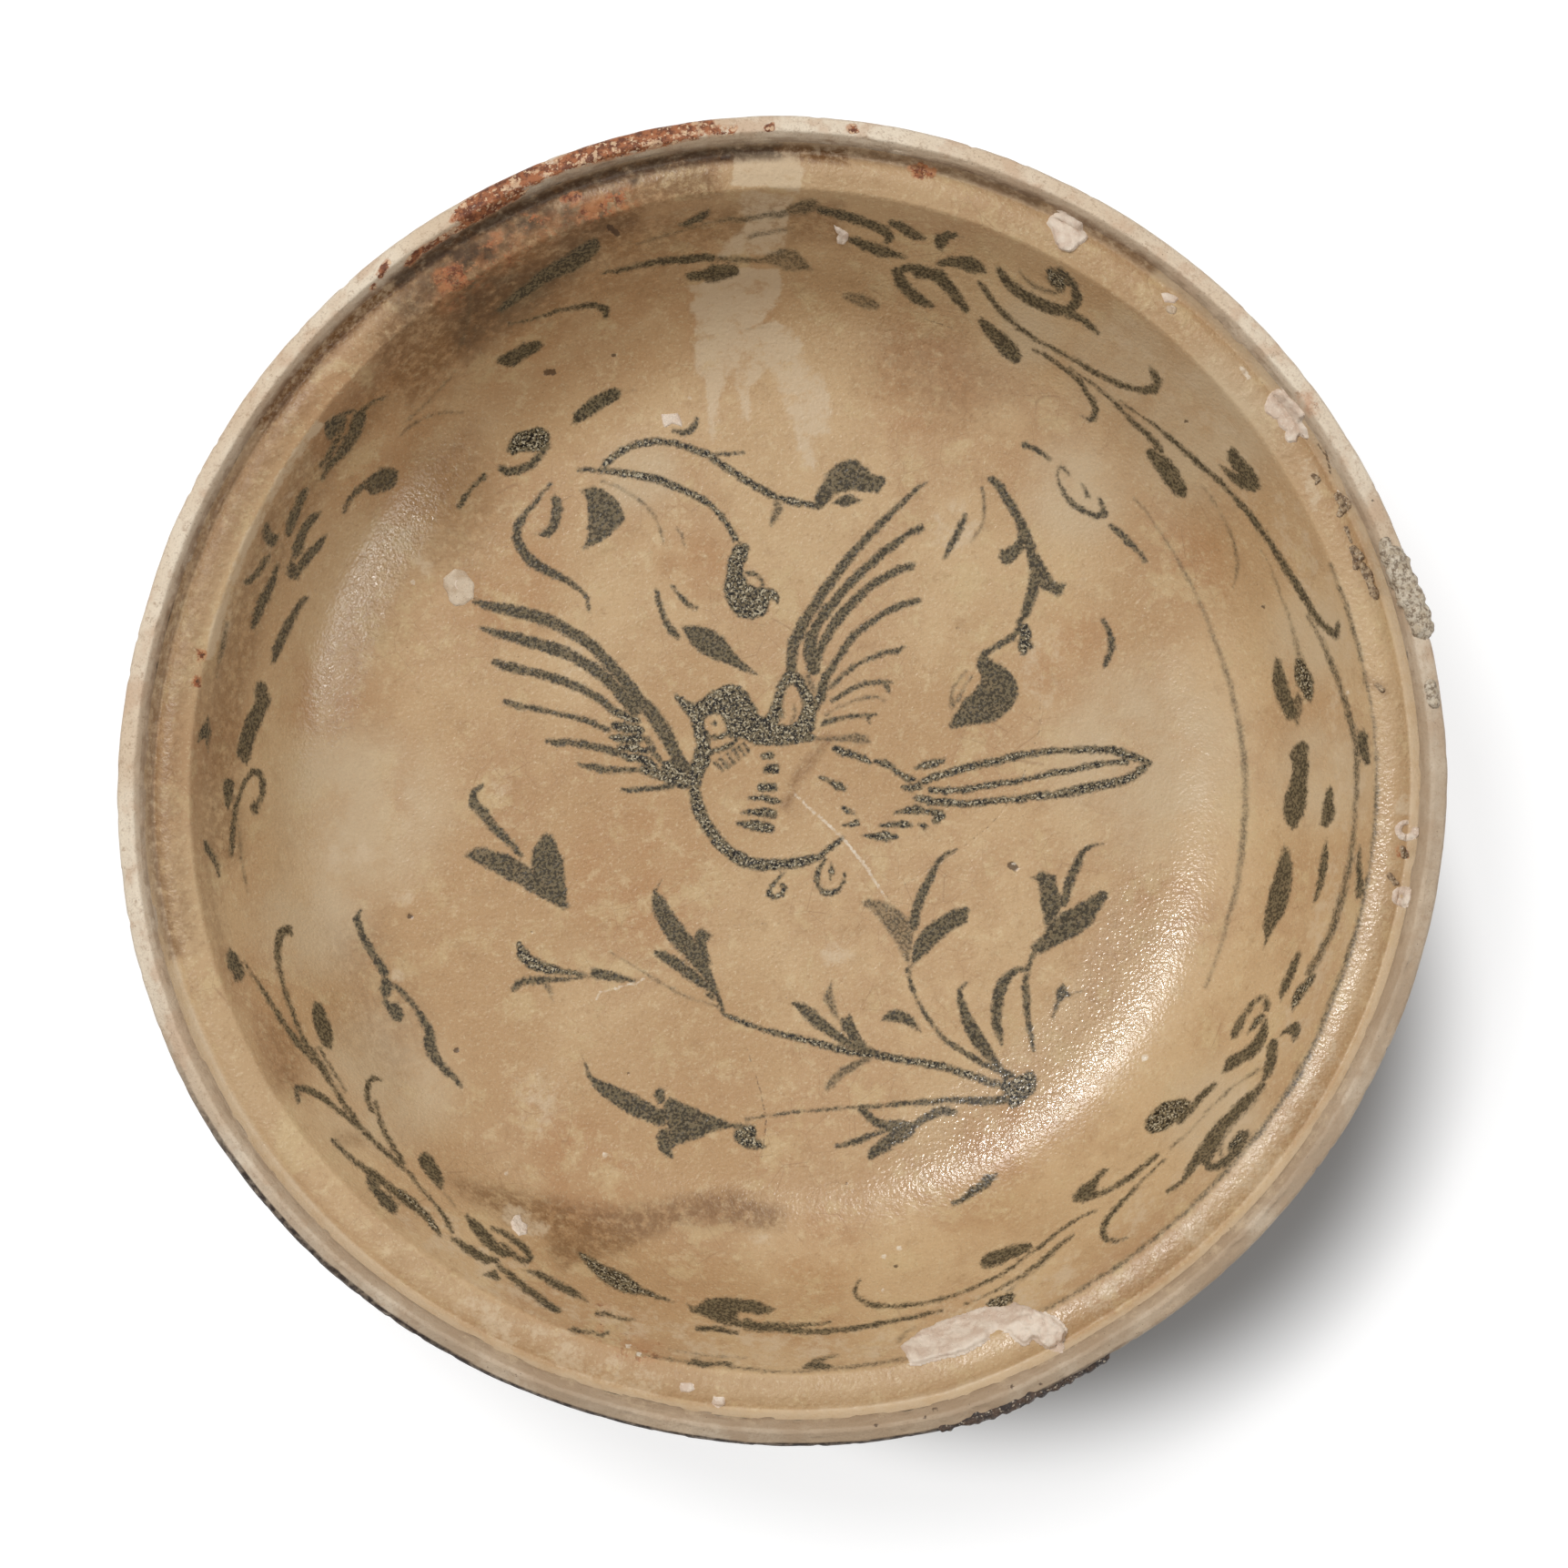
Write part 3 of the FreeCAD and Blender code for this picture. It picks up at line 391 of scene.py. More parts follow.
# main lower stem
L(D, 798,1116,5, 820,1125,5, 840,1132,6, 860,1137,7, 880,1142,8, 900,1147,9, 920,1152,9, 940,1157,9,
  960,1159,10, 980,1162,9, 1000,1166,9, 1020,1169,9, 1040,1173,9, 1060,1179,9, 1080,1186,9, 1100,1193,9)
C(D, 1122,1180, 1130,1177, 1136,1178, 1140,1186, 1138,1198, 1130,1206, 1122,1214, 1112,1218, 1105,1212,
  1107,1204, 1100,1198, 1096,1190, 1104,1186, 1112,1186, 1118,1182)
L(M, 873,1103,5, 882,1108,12, 893,1117,16, 905,1128,14, 918,1137,12, 930,1146,11, 942,1152,10, 955,1157,10,
  970,1160,9)
C(P, 914,1078, 916,1090, 918,1100, 921,1110, 924,1120, 918,1120, 910,1110, 905,1100, 906,1090, 910,1082)
C(M, 923,1118, 930,1117, 933,1114, 937,1118, 941,1128, 946,1140, 955,1150, 968,1157, 960,1162, 948,1158,
  938,1148, 930,1138, 924,1128)
L(P, 962,1161,7, 950,1165,9, 938,1171,11, 926,1178,12, 917,1186,12, 910,1195,10)
C(M, 968,1122, 970,1117, 976,1111, 984,1109, 994,1111, 1004,1118, 1010,1127, 1013,1135, 1006,1132, 996,1127,
  986,1124, 977,1122)
# V leaf
C(P, 945,992, 953,987, 965,988, 978,992, 990,1000, 1000,1012, 1005,1022, 1003,1040, 1000,1062, 995,1058,
  990,1048, 983,1036, 974,1022, 965,1010, 956,1000, 950,996)
L(M, 1052,933,2, 1040,938,4, 1030,948,6, 1024,960,9, 1016,976,11, 1010,990,12, 1006,1004,12, 1004,1018,12)
C(M, 1066,1000, 1062,996, 1050,997, 1040,1003, 1028,1010, 1017,1018, 1010,1025, 1003,1040, 1000,1064,
  1008,1058, 1018,1048, 1030,1037, 1040,1027, 1050,1020, 1058,1016, 1063,1015, 1064,1006)
L(M, 998,1066,6, 1002,1084,5, 1008,1100,5, 1016,1114,5, 1026,1128,5, 1040,1144,6, 1060,1157,7, 1080,1169,8,
  1100,1177,8, 1112,1182,8)
L(M, 1062,1080,2, 1054,1088,5, 1055,1100,9, 1062,1120,14, 1073,1140,18, 1088,1160,12, 1096,1172,10,
  1106,1183,8)
L(M, 820,1230,2, 840,1227,3, 860,1224,3, 880,1221,3, 900,1220,4, 920,1218,4, 940,1217,4, 960,1216,5,
  980,1214,6, 1000,1212,7, 1020,1211,8, 1040,1209,8, 1060,1209,8, 1080,1210,10, 1110,1208,10)
L(M, 1048,1222,9, 1036,1220,11, 1022,1226,10, 1012,1232,9, 1002,1237,9)
L(M, 1000,1240,14, 985,1240,18, 970,1236,12, 958,1230,10, 950,1222,10, 944,1219,6)
L(M, 998,1245,12, 985,1250,16, 972,1258,16, 962,1265,14, 956,1272,7)
L(M, 920,1260,5, 932,1257,7, 945,1253,9, 958,1247,7, 970,1243,6)
# right lower spray
C(M, 1131,964, 1138,961, 1142,957, 1150,959, 1160,962, 1164,980, 1168,995, 1158,1012, 1150,1022, 1146,1010,
  1143,995, 1142,980, 1140,968, 1134,966)
L(M, 1212,927,2, 1200,928,4, 1190,936,8, 1184,948,11, 1178,962,12, 1172,980,11, 1168,992,10)
C(M, 1220,980, 1209,979, 1196,986, 1180,996, 1165,1003, 1150,1015, 1147,1026, 1137,1034, 1132,1040,
  1134,1047, 1148,1047, 1164,1038, 1184,1028, 1200,1016, 1208,1002, 1215,990)
L(M, 1136,1047,7, 1132,1055,6, 1130,1065,8)
L(M, 1128,1065,5, 1116,1066,8, 1104,1078,13, 1098,1090,13, 1095,1110,13, 1095,1126,12, 1098,1138,9,
  1101,1148,3)
L(M, 1128,1072,7, 1127,1085,9, 1128,1100,9, 1129,1115,8, 1131,1130,7, 1134,1145,5, 1136,1154,3)
C(M, 1168,1080, 1172,1085, 1177,1094, 1170,1098, 1165,1104, 1161,1113, 1158,1121, 1156,1117, 1158,1108,
  1160,1098, 1161,1087)
L(P, 1176,1092,3, 1195,1088,1)
# border north west
C(M, 357,478, 357,465, 365,458, 375,453, 388,450, 395,452, 380,456, 383,462, 378,470, 372,478, 362,484)
L(M, 422,436,4, 410,442,4, 400,450,7, 396,458,14, 392,468,16, 388,478,16, 382,488,14, 375,498,10, 365,508,9,
  358,518,6, 353,527,4)
L(M, 378,468,6, 372,480,6, 366,492,7, 360,502,7, 352,512,4)
C(M, 400,538, 402,528, 410,520, 418,514, 430,514, 438,518, 438,528, 432,536, 422,541, 408,545)
L(M, 400,533,8, 392,540,7, 385,548,7, 380,556,6, 378,562,5)
C(M, 338,534, 338,545, 333,558, 328,570, 322,582, 318,591, 314,590, 313,578, 316,568, 322,558, 326,546,
  332,537)
C(M, 354,562, 346,563, 338,568, 332,576, 326,588, 320,602, 321,612, 325,615, 332,608, 336,597, 338,588,
  343,578, 350,570)
C(M, 360,586, 352,590, 345,597, 336,606, 330,614, 325,620, 320,613, 315,622, 314,632, 320,638, 328,637,
  334,627, 342,616, 352,605, 358,595)
C(M, 296,572, 290,576, 288,586, 290,594, 296,602, 302,600, 306,592, 307,586, 300,586, 298,580)
C(M, 297,607, 290,612, 284,620, 278,630, 268,637, 268,642, 274,644, 283,636, 290,626, 296,616)
L(M, 305,620,5, 301,632,8, 296,645,10, 290,658,12, 284,672,11, 280,684,9, 278,690,5)
L(P, 508,453,3, 490,453,4, 470,457,4, 456,465,4, 445,474,5, 440,478,3)
L(P, 445,464,3, 456,455,3, 470,442,3, 480,430,3, 492,418,3, 500,408,2)
L(F, 480,412,2, 494,396,3, 504,384,4, 510,370,5, 514,355,5, 517,330,6, 518,312,5)
# north
C(M, 545,396, 555,388, 565,383, 575,377, 590,374, 598,380, 590,386, 578,394, 568,402, 558,404, 548,400)
L(M, 652,270,16, 640,280,20, 625,290,20, 605,300,16, 590,310,14, 570,325,12, 550,340,8)
L(M, 560,356,3, 580,352,3, 600,346,4, 615,341,4, 630,338,5, 645,336,6, 655,336,8, 665,340,10, 666,348,6)
L(M, 660,300,3, 680,297,5, 700,292,7, 720,288,8, 740,286,9, 760,285,10, 775,283,9, 785,284,8)
L(P, 785,284,8, 800,285,9, 820,286,8, 835,286,8, 850,288,9)
C(M, 752,302, 760,298, 772,296, 785,290, 800,290, 812,292, 812,302, 800,306, 785,311, 770,309, 758,308)
C(M, 745,247, 752,244, 760,238, 770,232, 780,230, 780,236, 772,243, 760,248, 750,250)
L(P, 700,268,3, 720,262,4, 740,256,5, 760,250,5, 780,245,5, 800,241,6, 820,241,9, 835,238,6, 850,234,8)
L(P, 822,262,5, 830,258,6, 845,256,6, 858,253,6, 870,252,4)
L(F, 820,362,4, 850,358,3)
C(P, 838,238, 845,234, 860,230, 868,224, 880,219, 893,218, 903,224, 897,232, 885,236, 870,236, 858,240,
  845,241)
C(P, 840,278, 850,275, 862,272, 875,275, 885,285, 895,297, 880,299, 862,298, 850,292, 838,288)
L(M, 900,230,8, 915,234,10, 930,238,11, 945,243,11, 960,248,11, 972,254,12, 978,260,10, 974,266,6)
C(M, 975,243, 980,241, 990,243, 1000,248, 1010,254, 1018,262, 1017,265, 1005,264, 995,260, 985,253, 976,248)
C(M, 932,259, 940,260, 950,263, 965,267, 978,272, 990,278, 998,283, 992,285, 980,284, 965,282, 950,276,
  938,269, 932,264)
C(M, 1027,258, 1033,257, 1042,254, 1052,256, 1060,261, 1052,260, 1044,264, 1040,270, 1036,277, 1030,274,
  1026,266)
C(M, 1028,290, 1032,286, 1042,282, 1055,281, 1068,281, 1077,287, 1084,296, 1086,301, 1075,301, 1062,299,
  1050,294, 1035,293)
L(M, 985,300,12, 990,310,14, 998,320,14, 1008,328,14, 1018,334,10, 1024,336,6)
L(M, 986,302,10, 992,296,10, 1000,294,9, 1012,295,9, 1020,298,10)
L(M, 1008,300,10, 1020,301,14, 1032,304,16, 1042,315,14, 1050,325,13, 1057,334,11, 1062,341,7)
C(P, 922,322, 930,321, 945,322, 958,326, 966,332, 970,337, 966,340, 955,341, 942,338, 932,332, 925,327)
C(M, 1077,348, 1085,352, 1095,360, 1108,370, 1118,380, 1123,390, 1121,398, 1115,400, 1105,394, 1095,384,
  1085,372, 1078,362, 1075,353)
L(M, 1075,310,4, 1082,318,7, 1090,330,7, 1098,340,7, 1108,350,7, 1120,360,7, 1132,369,6, 1142,376,5,
  1155,382,5, 1170,390,5, 1185,398,5, 1200,408,6, 1215,415,7, 1230,422,7, 1245,427,8, 1258,429,9,
  1268,428,12, 1272,420,11, 1268,410,9, 1263,402,3)
L(M, 1135,384,3, 1148,390,4, 1160,398,5, 1172,407,5, 1185,418,6, 1193,430,6, 1200,441,8, 1204,450,8,
  1202,459,8, 1196,461,6, 1188,457,3)
L(M, 1175,404,2, 1190,415,3, 1205,425,3, 1217,435,3, 1228,446,5, 1240,459,5, 1250,468,7, 1260,477,7,
  1270,488,8, 1276,496,6)
C(D, 1149,296, 1155,293, 1162,296, 1168,303, 1172,312, 1170,319, 1162,320, 1155,314, 1150,306)
L(M, 1163,297,8, 1172,304,8, 1180,315,10, 1184,327,12, 1181,336,12, 1172,341,12, 1160,340,14, 1147,336,15,
  1132,329,14, 1118,320,14, 1107,310,12, 1100,301,10, 1097,297,7)
L(P, 1120,298,4, 1126,305,5, 1135,313,6, 1147,319,7, 1160,322,8, 1168,320,6)
L(M, 1172,345,10, 1180,346,9, 1190,352,9, 1200,360,8, 1206,366,4)
# east
C(M, 1258,496, 1264,493, 1272,496, 1280,500, 1288,508, 1294,516, 1300,527, 1305,538, 1304,547, 1297,548,
  1290,543, 1282,534, 1275,524, 1268,514, 1260,503)
C(M, 1348,496, 1353,491, 1360,495, 1362,500, 1370,507, 1378,516, 1384,527, 1386,536, 1380,541, 1370,540,
  1362,534, 1352,524, 1343,514, 1350,515, 1358,520, 1352,512, 1348,505)
L(M, 1340,511,2, 1348,518,6, 1358,528,8, 1365,536,6)
L(M, 1230,440,2, 1240,447,2, 1255,458,3, 1270,468,4, 1285,481,6, 1300,494,7, 1315,507,7, 1330,520,7,
  1345,533,6, 1355,545,6, 1367,559,7, 1378,572,9, 1388,585,8, 1398,600,8, 1408,617,9, 1420,635,9,
  1432,655,9, 1442,672,9, 1453,686,8, 1462,694,9, 1468,699,9, 1470,690,6, 1471,682,2)
L(P, 1320,533,3, 1330,545,3, 1340,561,3, 1350,580,4, 1357,600,5, 1360,620,5, 1358,635,4, 1355,645,2)
L(P, 1386,606,2, 1396,622,3, 1401,637,4, 1408,655,4, 1415,673,4, 1420,690,5, 1424,705,7, 1427,720,9)
C(D, 1424,722, 1432,722, 1438,735, 1443,748, 1444,760, 1440,773, 1434,768, 1430,760, 1424,752, 1422,738)
C(P, 1425,760, 1433,768, 1432,780, 1428,795, 1424,800, 1420,790, 1416,775)
C(M, 1402,722, 1408,725, 1412,738, 1416,755, 1420,765, 1428,775, 1432,780, 1426,790, 1415,792, 1408,780,
  1400,765, 1397,750, 1398,738)
L(0.6, 1436,676,4, 1444,688,6, 1452,703,7, 1460,722,8, 1468,742,8, 1475,762,8, 1481,782,9, 1486,800,9,
  1490,820,8, 1491,840,8, 1491,860,7, 1490,880,7, 1488,900,7, 1487,920,7, 1485,940,8, 1481,960,9,
  1476,980,10, 1470,1000,10, 1464,1020,10, 1456,1038,10, 1446,1056,10, 1438,1070,10)
C(D, 1446,1071, 1440,1083, 1432,1096, 1424,1106, 1420,1112, 1418,1104, 1420,1094, 1426,1084, 1436,1074,
  1442,1068)
C(M, 1498,800, 1503,808, 1505,820, 1506,832, 1506,841, 1500,842, 1496,834, 1492,826, 1490,815, 1493,805)
C(M, 1431,813, 1438,818, 1438,835, 1438,850, 1437,865, 1436,880, 1434,895, 1430,900, 1426,908, 1420,912,
  1412,903, 1410,892, 1411,875, 1416,865, 1420,850, 1420,840, 1417,830, 1421,820)
C(M, 1461,862, 1465,870, 1466,882, 1468,893, 1464,903, 1456,911, 1450,906, 1452,895, 1454,883, 1457,870)
C(M, 1411,926, 1417,935, 1420,950, 1420,970, 1416,990, 1409,1008, 1400,1022, 1392,1036, 1388,1044,
  1390,1030, 1387,1020, 1389,1005, 1393,988, 1397,970, 1402,955, 1407,940)
C(M, 1457,920, 1460,935, 1459,955, 1455,972, 1448,988, 1441,998, 1444,985, 1447,970, 1449,955, 1452,940)
C(M, 1494,928, 1496,940, 1497,955, 1498,970, 1500,980, 1495,987, 1490,989, 1489,978, 1490,965, 1489,952,
  1491,940)
C(M, 1429,1044, 1431,1050, 1427,1060, 1422,1072, 1417,1085, 1410,1097, 1407,1102, 1406,1092, 1408,1080,
  1413,1068, 1420,1055, 1424,1047)
# south east
C(M, 1392,1092, 1384,1093, 1376,1099, 1368,1108, 1360,1120, 1353,1132, 1351,1143, 1360,1140, 1366,1128,
  1372,1116, 1380,1104, 1388,1100)
C(M, 1392,1093, 1396,1102, 1394,1112, 1388,1112, 1388,1100)
C(D, 1385,1113, 1378,1120, 1372,1130, 1370,1138, 1378,1132, 1386,1122, 1392,1116)
C(M, 1392,1116, 1394,1128, 1393,1140, 1388,1150, 1380,1160, 1368,1168, 1355,1176, 1343,1180, 1344,1172,
  1348,1163, 1358,1157, 1370,1150, 1378,1142, 1384,1132, 1388,1122)
C(M, 1425,1120, 1430,1130, 1427,1140, 1421,1147, 1419,1138, 1412,1136, 1405,1140, 1410,1132, 1418,1125)
C(M, 1396,1142, 1400,1140, 1404,1144, 1404,1158, 1402,1172, 1398,1180, 1390,1188, 1386,1192, 1387,1180,
  1390,1165, 1392,1152)
L(M, 1388,1192,8, 1378,1202,12, 1366,1214,14, 1354,1227,15, 1343,1238,17, 1334,1250,19, 1328,1262,18,
  1325,1274,14, 1328,1282,9, 1338,1282,9, 1348,1276,11, 1356,1268,12, 1363,1258,13, 1368,1249,9,
  1371,1243,4)
L(M, 1322,1262,12, 1314,1276,12, 1306,1288,9, 1300,1298,6, 1290,1305,5, 1283,1310,4)
L(P, 1382,1208,5, 1370,1220,5, 1358,1232,6, 1348,1244,7, 1342,1254,7, 1340,1262,8, 1342,1270,6)
L(D, 1352,1262,8, 1358,1255,12, 1366,1247,10)
L(P, 1382,1176,5, 1375,1181,5, 1365,1187,4, 1352,1197,4, 1340,1208,4, 1326,1222,3, 1313,1237,4, 1300,1250,4,
  1285,1262,3)
C(D, 1258,1240, 1258,1232, 1265,1222, 1278,1212, 1292,1207, 1302,1206, 1308,1210, 1304,1222, 1292,1234,
  1280,1243, 1268,1246, 1260,1243)
L(M, 1335,1191,5, 1328,1198,8, 1318,1208,9, 1308,1218,10, 1296,1230,12)
L(M, 1273,1268,4, 1265,1275,6, 1255,1283,7, 1245,1291,7, 1235,1298,7, 1222,1306,7, 1210,1311,8, 1200,1314,9,
  1190,1316,12, 1182,1317,8)
C(M, 1180,1320, 1179,1313, 1186,1305, 1196,1298, 1204,1289, 1212,1284, 1219,1284, 1215,1290, 1208,1298,
  1204,1308, 1200,1316, 1190,1322)
L(M, 1280,1274,3, 1270,1283,3, 1260,1293,3, 1248,1305,4, 1238,1316,5, 1226,1328,6, 1218,1338,7, 1213,1349,8,
  1212,1357,8, 1218,1363,7, 1227,1364,5, 1237,1361,3)
# south
L(M, 1048,1322,6, 1055,1321,6, 1062,1315,9, 1070,1308,11, 1080,1302,12, 1088,1295,11, 1094,1292,6)
C(M, 1075,1388, 1080,1380, 1092,1374, 1108,1369, 1122,1365, 1133,1365, 1135,1370, 1128,1377, 1115,1383,
  1100,1390, 1088,1394, 1078,1393)
C(D, 1083,1433, 1090,1427, 1100,1423, 1112,1420, 1117,1423, 1113,1430, 1105,1436, 1095,1437, 1085,1435)
L(M, 1205,1330,2, 1190,1336,3, 1175,1345,4, 1160,1356,4, 1145,1369,4, 1128,1380,4, 1115,1390,4, 1100,1401,4,
  1085,1408,4, 1068,1416,4, 1050,1423,4, 1030,1429,4, 1010,1433,5, 990,1435,5, 980,1436,5, 962,1435,6,
  950,1431,6, 942,1426,6, 939,1419,5, 941,1412,3, 945,1407,2)
L(M, 1180,1357,4, 1172,1363,5, 1160,1372,6, 1150,1381,6, 1140,1390,5, 1128,1398,5, 1118,1405,4, 1105,1412,4,
  1092,1420,3, 1075,1427,3, 1060,1433,2)
L(P, 1160,1376,3, 1145,1390,3, 1130,1401,3, 1118,1410,3, 1105,1421,4)
L(M, 1035,1440,3, 1010,1446,4, 990,1450,5, 970,1454,6, 950,1458,6, 930,1461,6, 910,1463,7, 890,1463,7,
  870,1462,7, 850,1460,8, 835,1458,10, 820,1455,14)
C(M, 755,1432, 762,1436, 770,1432, 778,1427, 790,1425, 805,1426, 820,1428, 835,1430, 845,1435, 853,1438,
  846,1444, 835,1446, 825,1443, 812,1443, 812,1448, 820,1453, 835,1456, 850,1457, 860,1457, 850,1463,
  835,1464, 815,1460, 800,1456, 785,1452, 770,1446, 758,1442)
L(M, 840,1455,4, 860,1456,5, 880,1456,5, 900,1455,5, 912,1453,3)
L(M, 766,1460,6, 780,1460,6, 795,1462,6, 810,1464,5)
L(M, 756,1498,4, 764,1497,8, 774,1499,9, 785,1499,6, 797,1498,5, 805,1498,2)
L(M, 882,1503,2, 890,1500,7, 900,1500,9, 910,1502,8, 914,1501,4)
L(M, 895,1496,6, 905,1493,6, 915,1490,4, 922,1489,2)
L(F, 988,1472,8, 995,1464,8, 1005,1458,5)
# south west
C(D, 633,1376, 640,1376, 650,1381, 660,1388, 672,1393, 685,1398, 695,1405, 705,1414, 718,1420, 735,1427,
  741,1431, 728,1429, 712,1425, 695,1422, 680,1419, 668,1413, 655,1403, 645,1390)
C(M, 462,1266, 468,1265, 474,1270, 480,1278, 485,1287, 489,1296, 488,1306, 484,1308, 478,1302, 470,1294,
  463,1284, 459,1274)
L(P, 487,1310,4, 495,1318,3, 500,1326,2)
L(M, 442,1282,4, 452,1292,5, 462,1305,5, 472,1317,5, 480,1325,5, 487,1335,6, 493,1345,7, 497,1353,4)
L(D, 440,1310,8, 450,1318,9, 460,1327,9, 468,1336,8, 476,1346,8, 482,1355,6, 484,1358,3)
L(P, 440,1322,3, 450,1328,3, 460,1338,3)
L(M, 496,1361,3, 505,1366,8, 515,1373,11, 525,1379,11, 535,1384,10, 545,1385,8, 548,1384,3)
L(M, 513,1337,5, 520,1345,11, 527,1353,14, 535,1362,15, 545,1372,12, 555,1378,9, 565,1379,6)
L(M, 540,1349,4, 550,1353,7, 560,1359,8, 570,1366,9, 578,1374,9, 583,1382,8, 578,1386,8, 570,1383,8,
  562,1377,8, 554,1369,6, 550,1366,4)
C(M, 530,1401, 540,1396, 545,1396, 548,1401, 552,1407, 545,1407, 538,1404)
L(M, 548,1391,5, 556,1397,9, 566,1406,9, 576,1414,9, 586,1422,10, 596,1429,10, 605,1436,10, 612,1440,8,
  616,1440,3)
L(M, 576,1396,3, 588,1399,7, 598,1404,9, 610,1411,10, 622,1417,10, 633,1422,9, 642,1427,5, 646,1430,2)
L(M, 656,1443,5, 665,1443,8, 675,1447,5, 688,1450,5, 697,1450,2)
L(M, 625,1461,3, 632,1462,8, 640,1464,5, 650,1464,4, 660,1467,4, 668,1465,4)
# west and south west
L(M, 396,1000,3, 392,1010,8, 396,1022,9, 401,1033,9, 408,1045,10, 416,1057,10, 423,1069,10)
C(M, 420,1072, 428,1074, 432,1082, 430,1092, 425,1098, 430,1101, 436,1101, 442,1108, 445,1117, 441,1123,
  435,1122, 428,1115, 422,1106, 420,1096, 417,1086)
L(M, 432,1083,6, 442,1090,7, 452,1101,8, 460,1112,8, 467,1124,9, 472,1135,12, 472,1146,15, 476,1158,14,
  482,1168,10, 490,1176,10, 498,1183,8, 504,1190,6, 508,1195,2)
L(M, 418,1187,4, 411,1184,6, 405,1188,7, 403,1198,7, 404,1210,6, 408,1219,5, 411,1222,4)
L(M, 413,1210,3, 415,1222,5, 418,1234,6, 424,1247,7, 431,1258,7, 437,1268,6, 443,1278,5)
L(M, 320,1027,4, 316,1021,10, 309,1025,11, 306,1035,9, 305,1048,8, 306,1060,7, 310,1078,6, 315,1095,7,
  321,1112,6, 328,1130,6, 337,1148,7, 347,1163,8, 355,1176,9, 362,1188,7, 370,1201,6, 380,1216,6,
  392,1232,6, 402,1245,7, 415,1258,7, 428,1270,6, 440,1281,5, 452,1292,5)
L(M, 268,1057,3, 278,1072,4, 285,1082,5, 295,1098,6, 305,1114,7, 315,1129,7, 325,1143,7, 335,1155,7,
  345,1165,8)
L(M, 350,1150,3, 358,1163,4, 366,1176,4, 374,1188,3, 380,1199,2)
C(M, 344,1101, 351,1101, 357,1110, 362,1122, 366,1135, 367,1146, 363,1154, 356,1150, 350,1140, 345,1127,
  342,1113)
L(M, 328,1212,3, 327,1204,6, 326,1196,8, 334,1196,8, 344,1200,9, 354,1206,8, 364,1214,7, 375,1223,6,
  387,1232,6, 398,1242,5, 412,1254,5, 425,1266,5, 437,1279,5)
L(M, 366,1252,5, 372,1260,6, 380,1268,6, 390,1276,6, 400,1284,8, 412,1292,10, 425,1302,9, 437,1312,9,
  450,1323,9, 462,1332,9, 470,1340,8)
C(M, 403,1286, 412,1290, 420,1300, 418,1306, 424,1310, 432,1316, 438,1326, 436,1334, 428,1333, 420,1326,
  412,1316, 405,1306, 401,1296)
L(P, 420,1310,5, 432,1314,5, 445,1323,5, 458,1334,5)
C(M, 253,1041, 260,1048, 268,1060, 269,1070, 265,1079, 260,1079, 255,1070, 250,1062, 248,1050)
L(P, 268,1062,3, 274,1070,3, 279,1078,2)
C(M, 287,746, 292,752, 296,762, 298,770, 294,780, 288,793, 282,806, 278,820, 275,832, 271,842, 265,836,
  260,830, 262,815, 266,800, 272,785, 279,772, 279,758, 282,750)
C(M, 246,856, 252,854, 257,860, 257,870, 254,882, 251,892, 247,884, 245,872)
C(M, 228,786, 230,795, 232,805, 230,815, 229,828, 226,820, 224,812, 220,814, 216,818, 218,808, 221,800)
L(M, 255,940,5, 255,920,6, 257,905,7, 258,890,7, 262,878,6, 265,868,6, 270,858,7, 278,848,8, 285,850,9,
  289,860,8, 288,872,7, 285,880,6)
L(P, 262,900,3, 263,920,4, 265,940,4, 268,960,3, 272,980,2)
C(M, 278,876, 282,880, 286,888, 283,896, 278,897, 275,888)
L(M, 226,925,5, 229,933,9, 233,940,6, 238,950,6, 241,962,3)
L(M, 336,657,6, 330,664,8, 323,675,9, 316,688,11, 309,702,12, 304,715,11, 300,728,4)
L(P, 249,685,6, 247,697,7, 245,710,8, 242,722,6, 239,735,4, 238,745,2)
L(D, 862,752,6, 858,762,7, 857,775,7, 859,788,6)
L(P, 872,772,3, 874,784,5, 870,794,6)
L(D, 906,742,7, 902,760,9, 896,778,10, 888,792,9)
L(P, 888,745,10, 894,760,9)
# drawn ring lines
R = 0.55
L(R, 1462,620,5, 1470,640,6, 1478,662,7, 1484,682,7, 1490,702,7, 1496,725,6, 1500,745,5, 1506,770,5,
  1510,800,5, 1512,830,6, 1513,860,7, 1512,890,7, 1510,915,7, 1507,940,7, 1504,960,7, 1500,980,6,
  1496,1000,7, 1491,1020,8, 1485,1040,9, 1478,1060,9, 1471,1080,9, 1463,1100,9, 1455,1120,9, 1448,1140,8,
  1438,1160,9, 1426,1182,10, 1414,1202,9, 1400,1222,8, 1386,1242,8, 1372,1258,9, 1358,1275,8, 1345,1290,8,
  1330,1305,8, 1315,1320,8, 1300,1335,7, 1285,1347,7, 1270,1360,6, 1250,1375,7, 1235,1387,7, 1215,1400,6,
  1195,1412,6, 1175,1425,6, 1155,1436,6, 1143,1441,4)
L(0.7, 700,1488,3, 740,1494,3, 800,1502,3, 850,1507,3, 880,1507,3, 940,1502,4, 970,1497,4, 1000,1492,4)
L(0.6, 735,1483,2, 760,1487,3, 780,1490,3, 820,1493,2)
L(0.45, 1245,545,3, 1265,570,4, 1285,600,5, 1300,625,6, 1318,660,6, 1330,690,7, 1345,730,8, 1355,765,8,
  1362,800,9, 1367,830,9, 1369,860,9, 1368,890,10, 1366,920,10, 1363,950,9, 1358,980,9, 1350,1005,8,
  1344,1030,7, 1336,1055,6, 1325,1085,5)

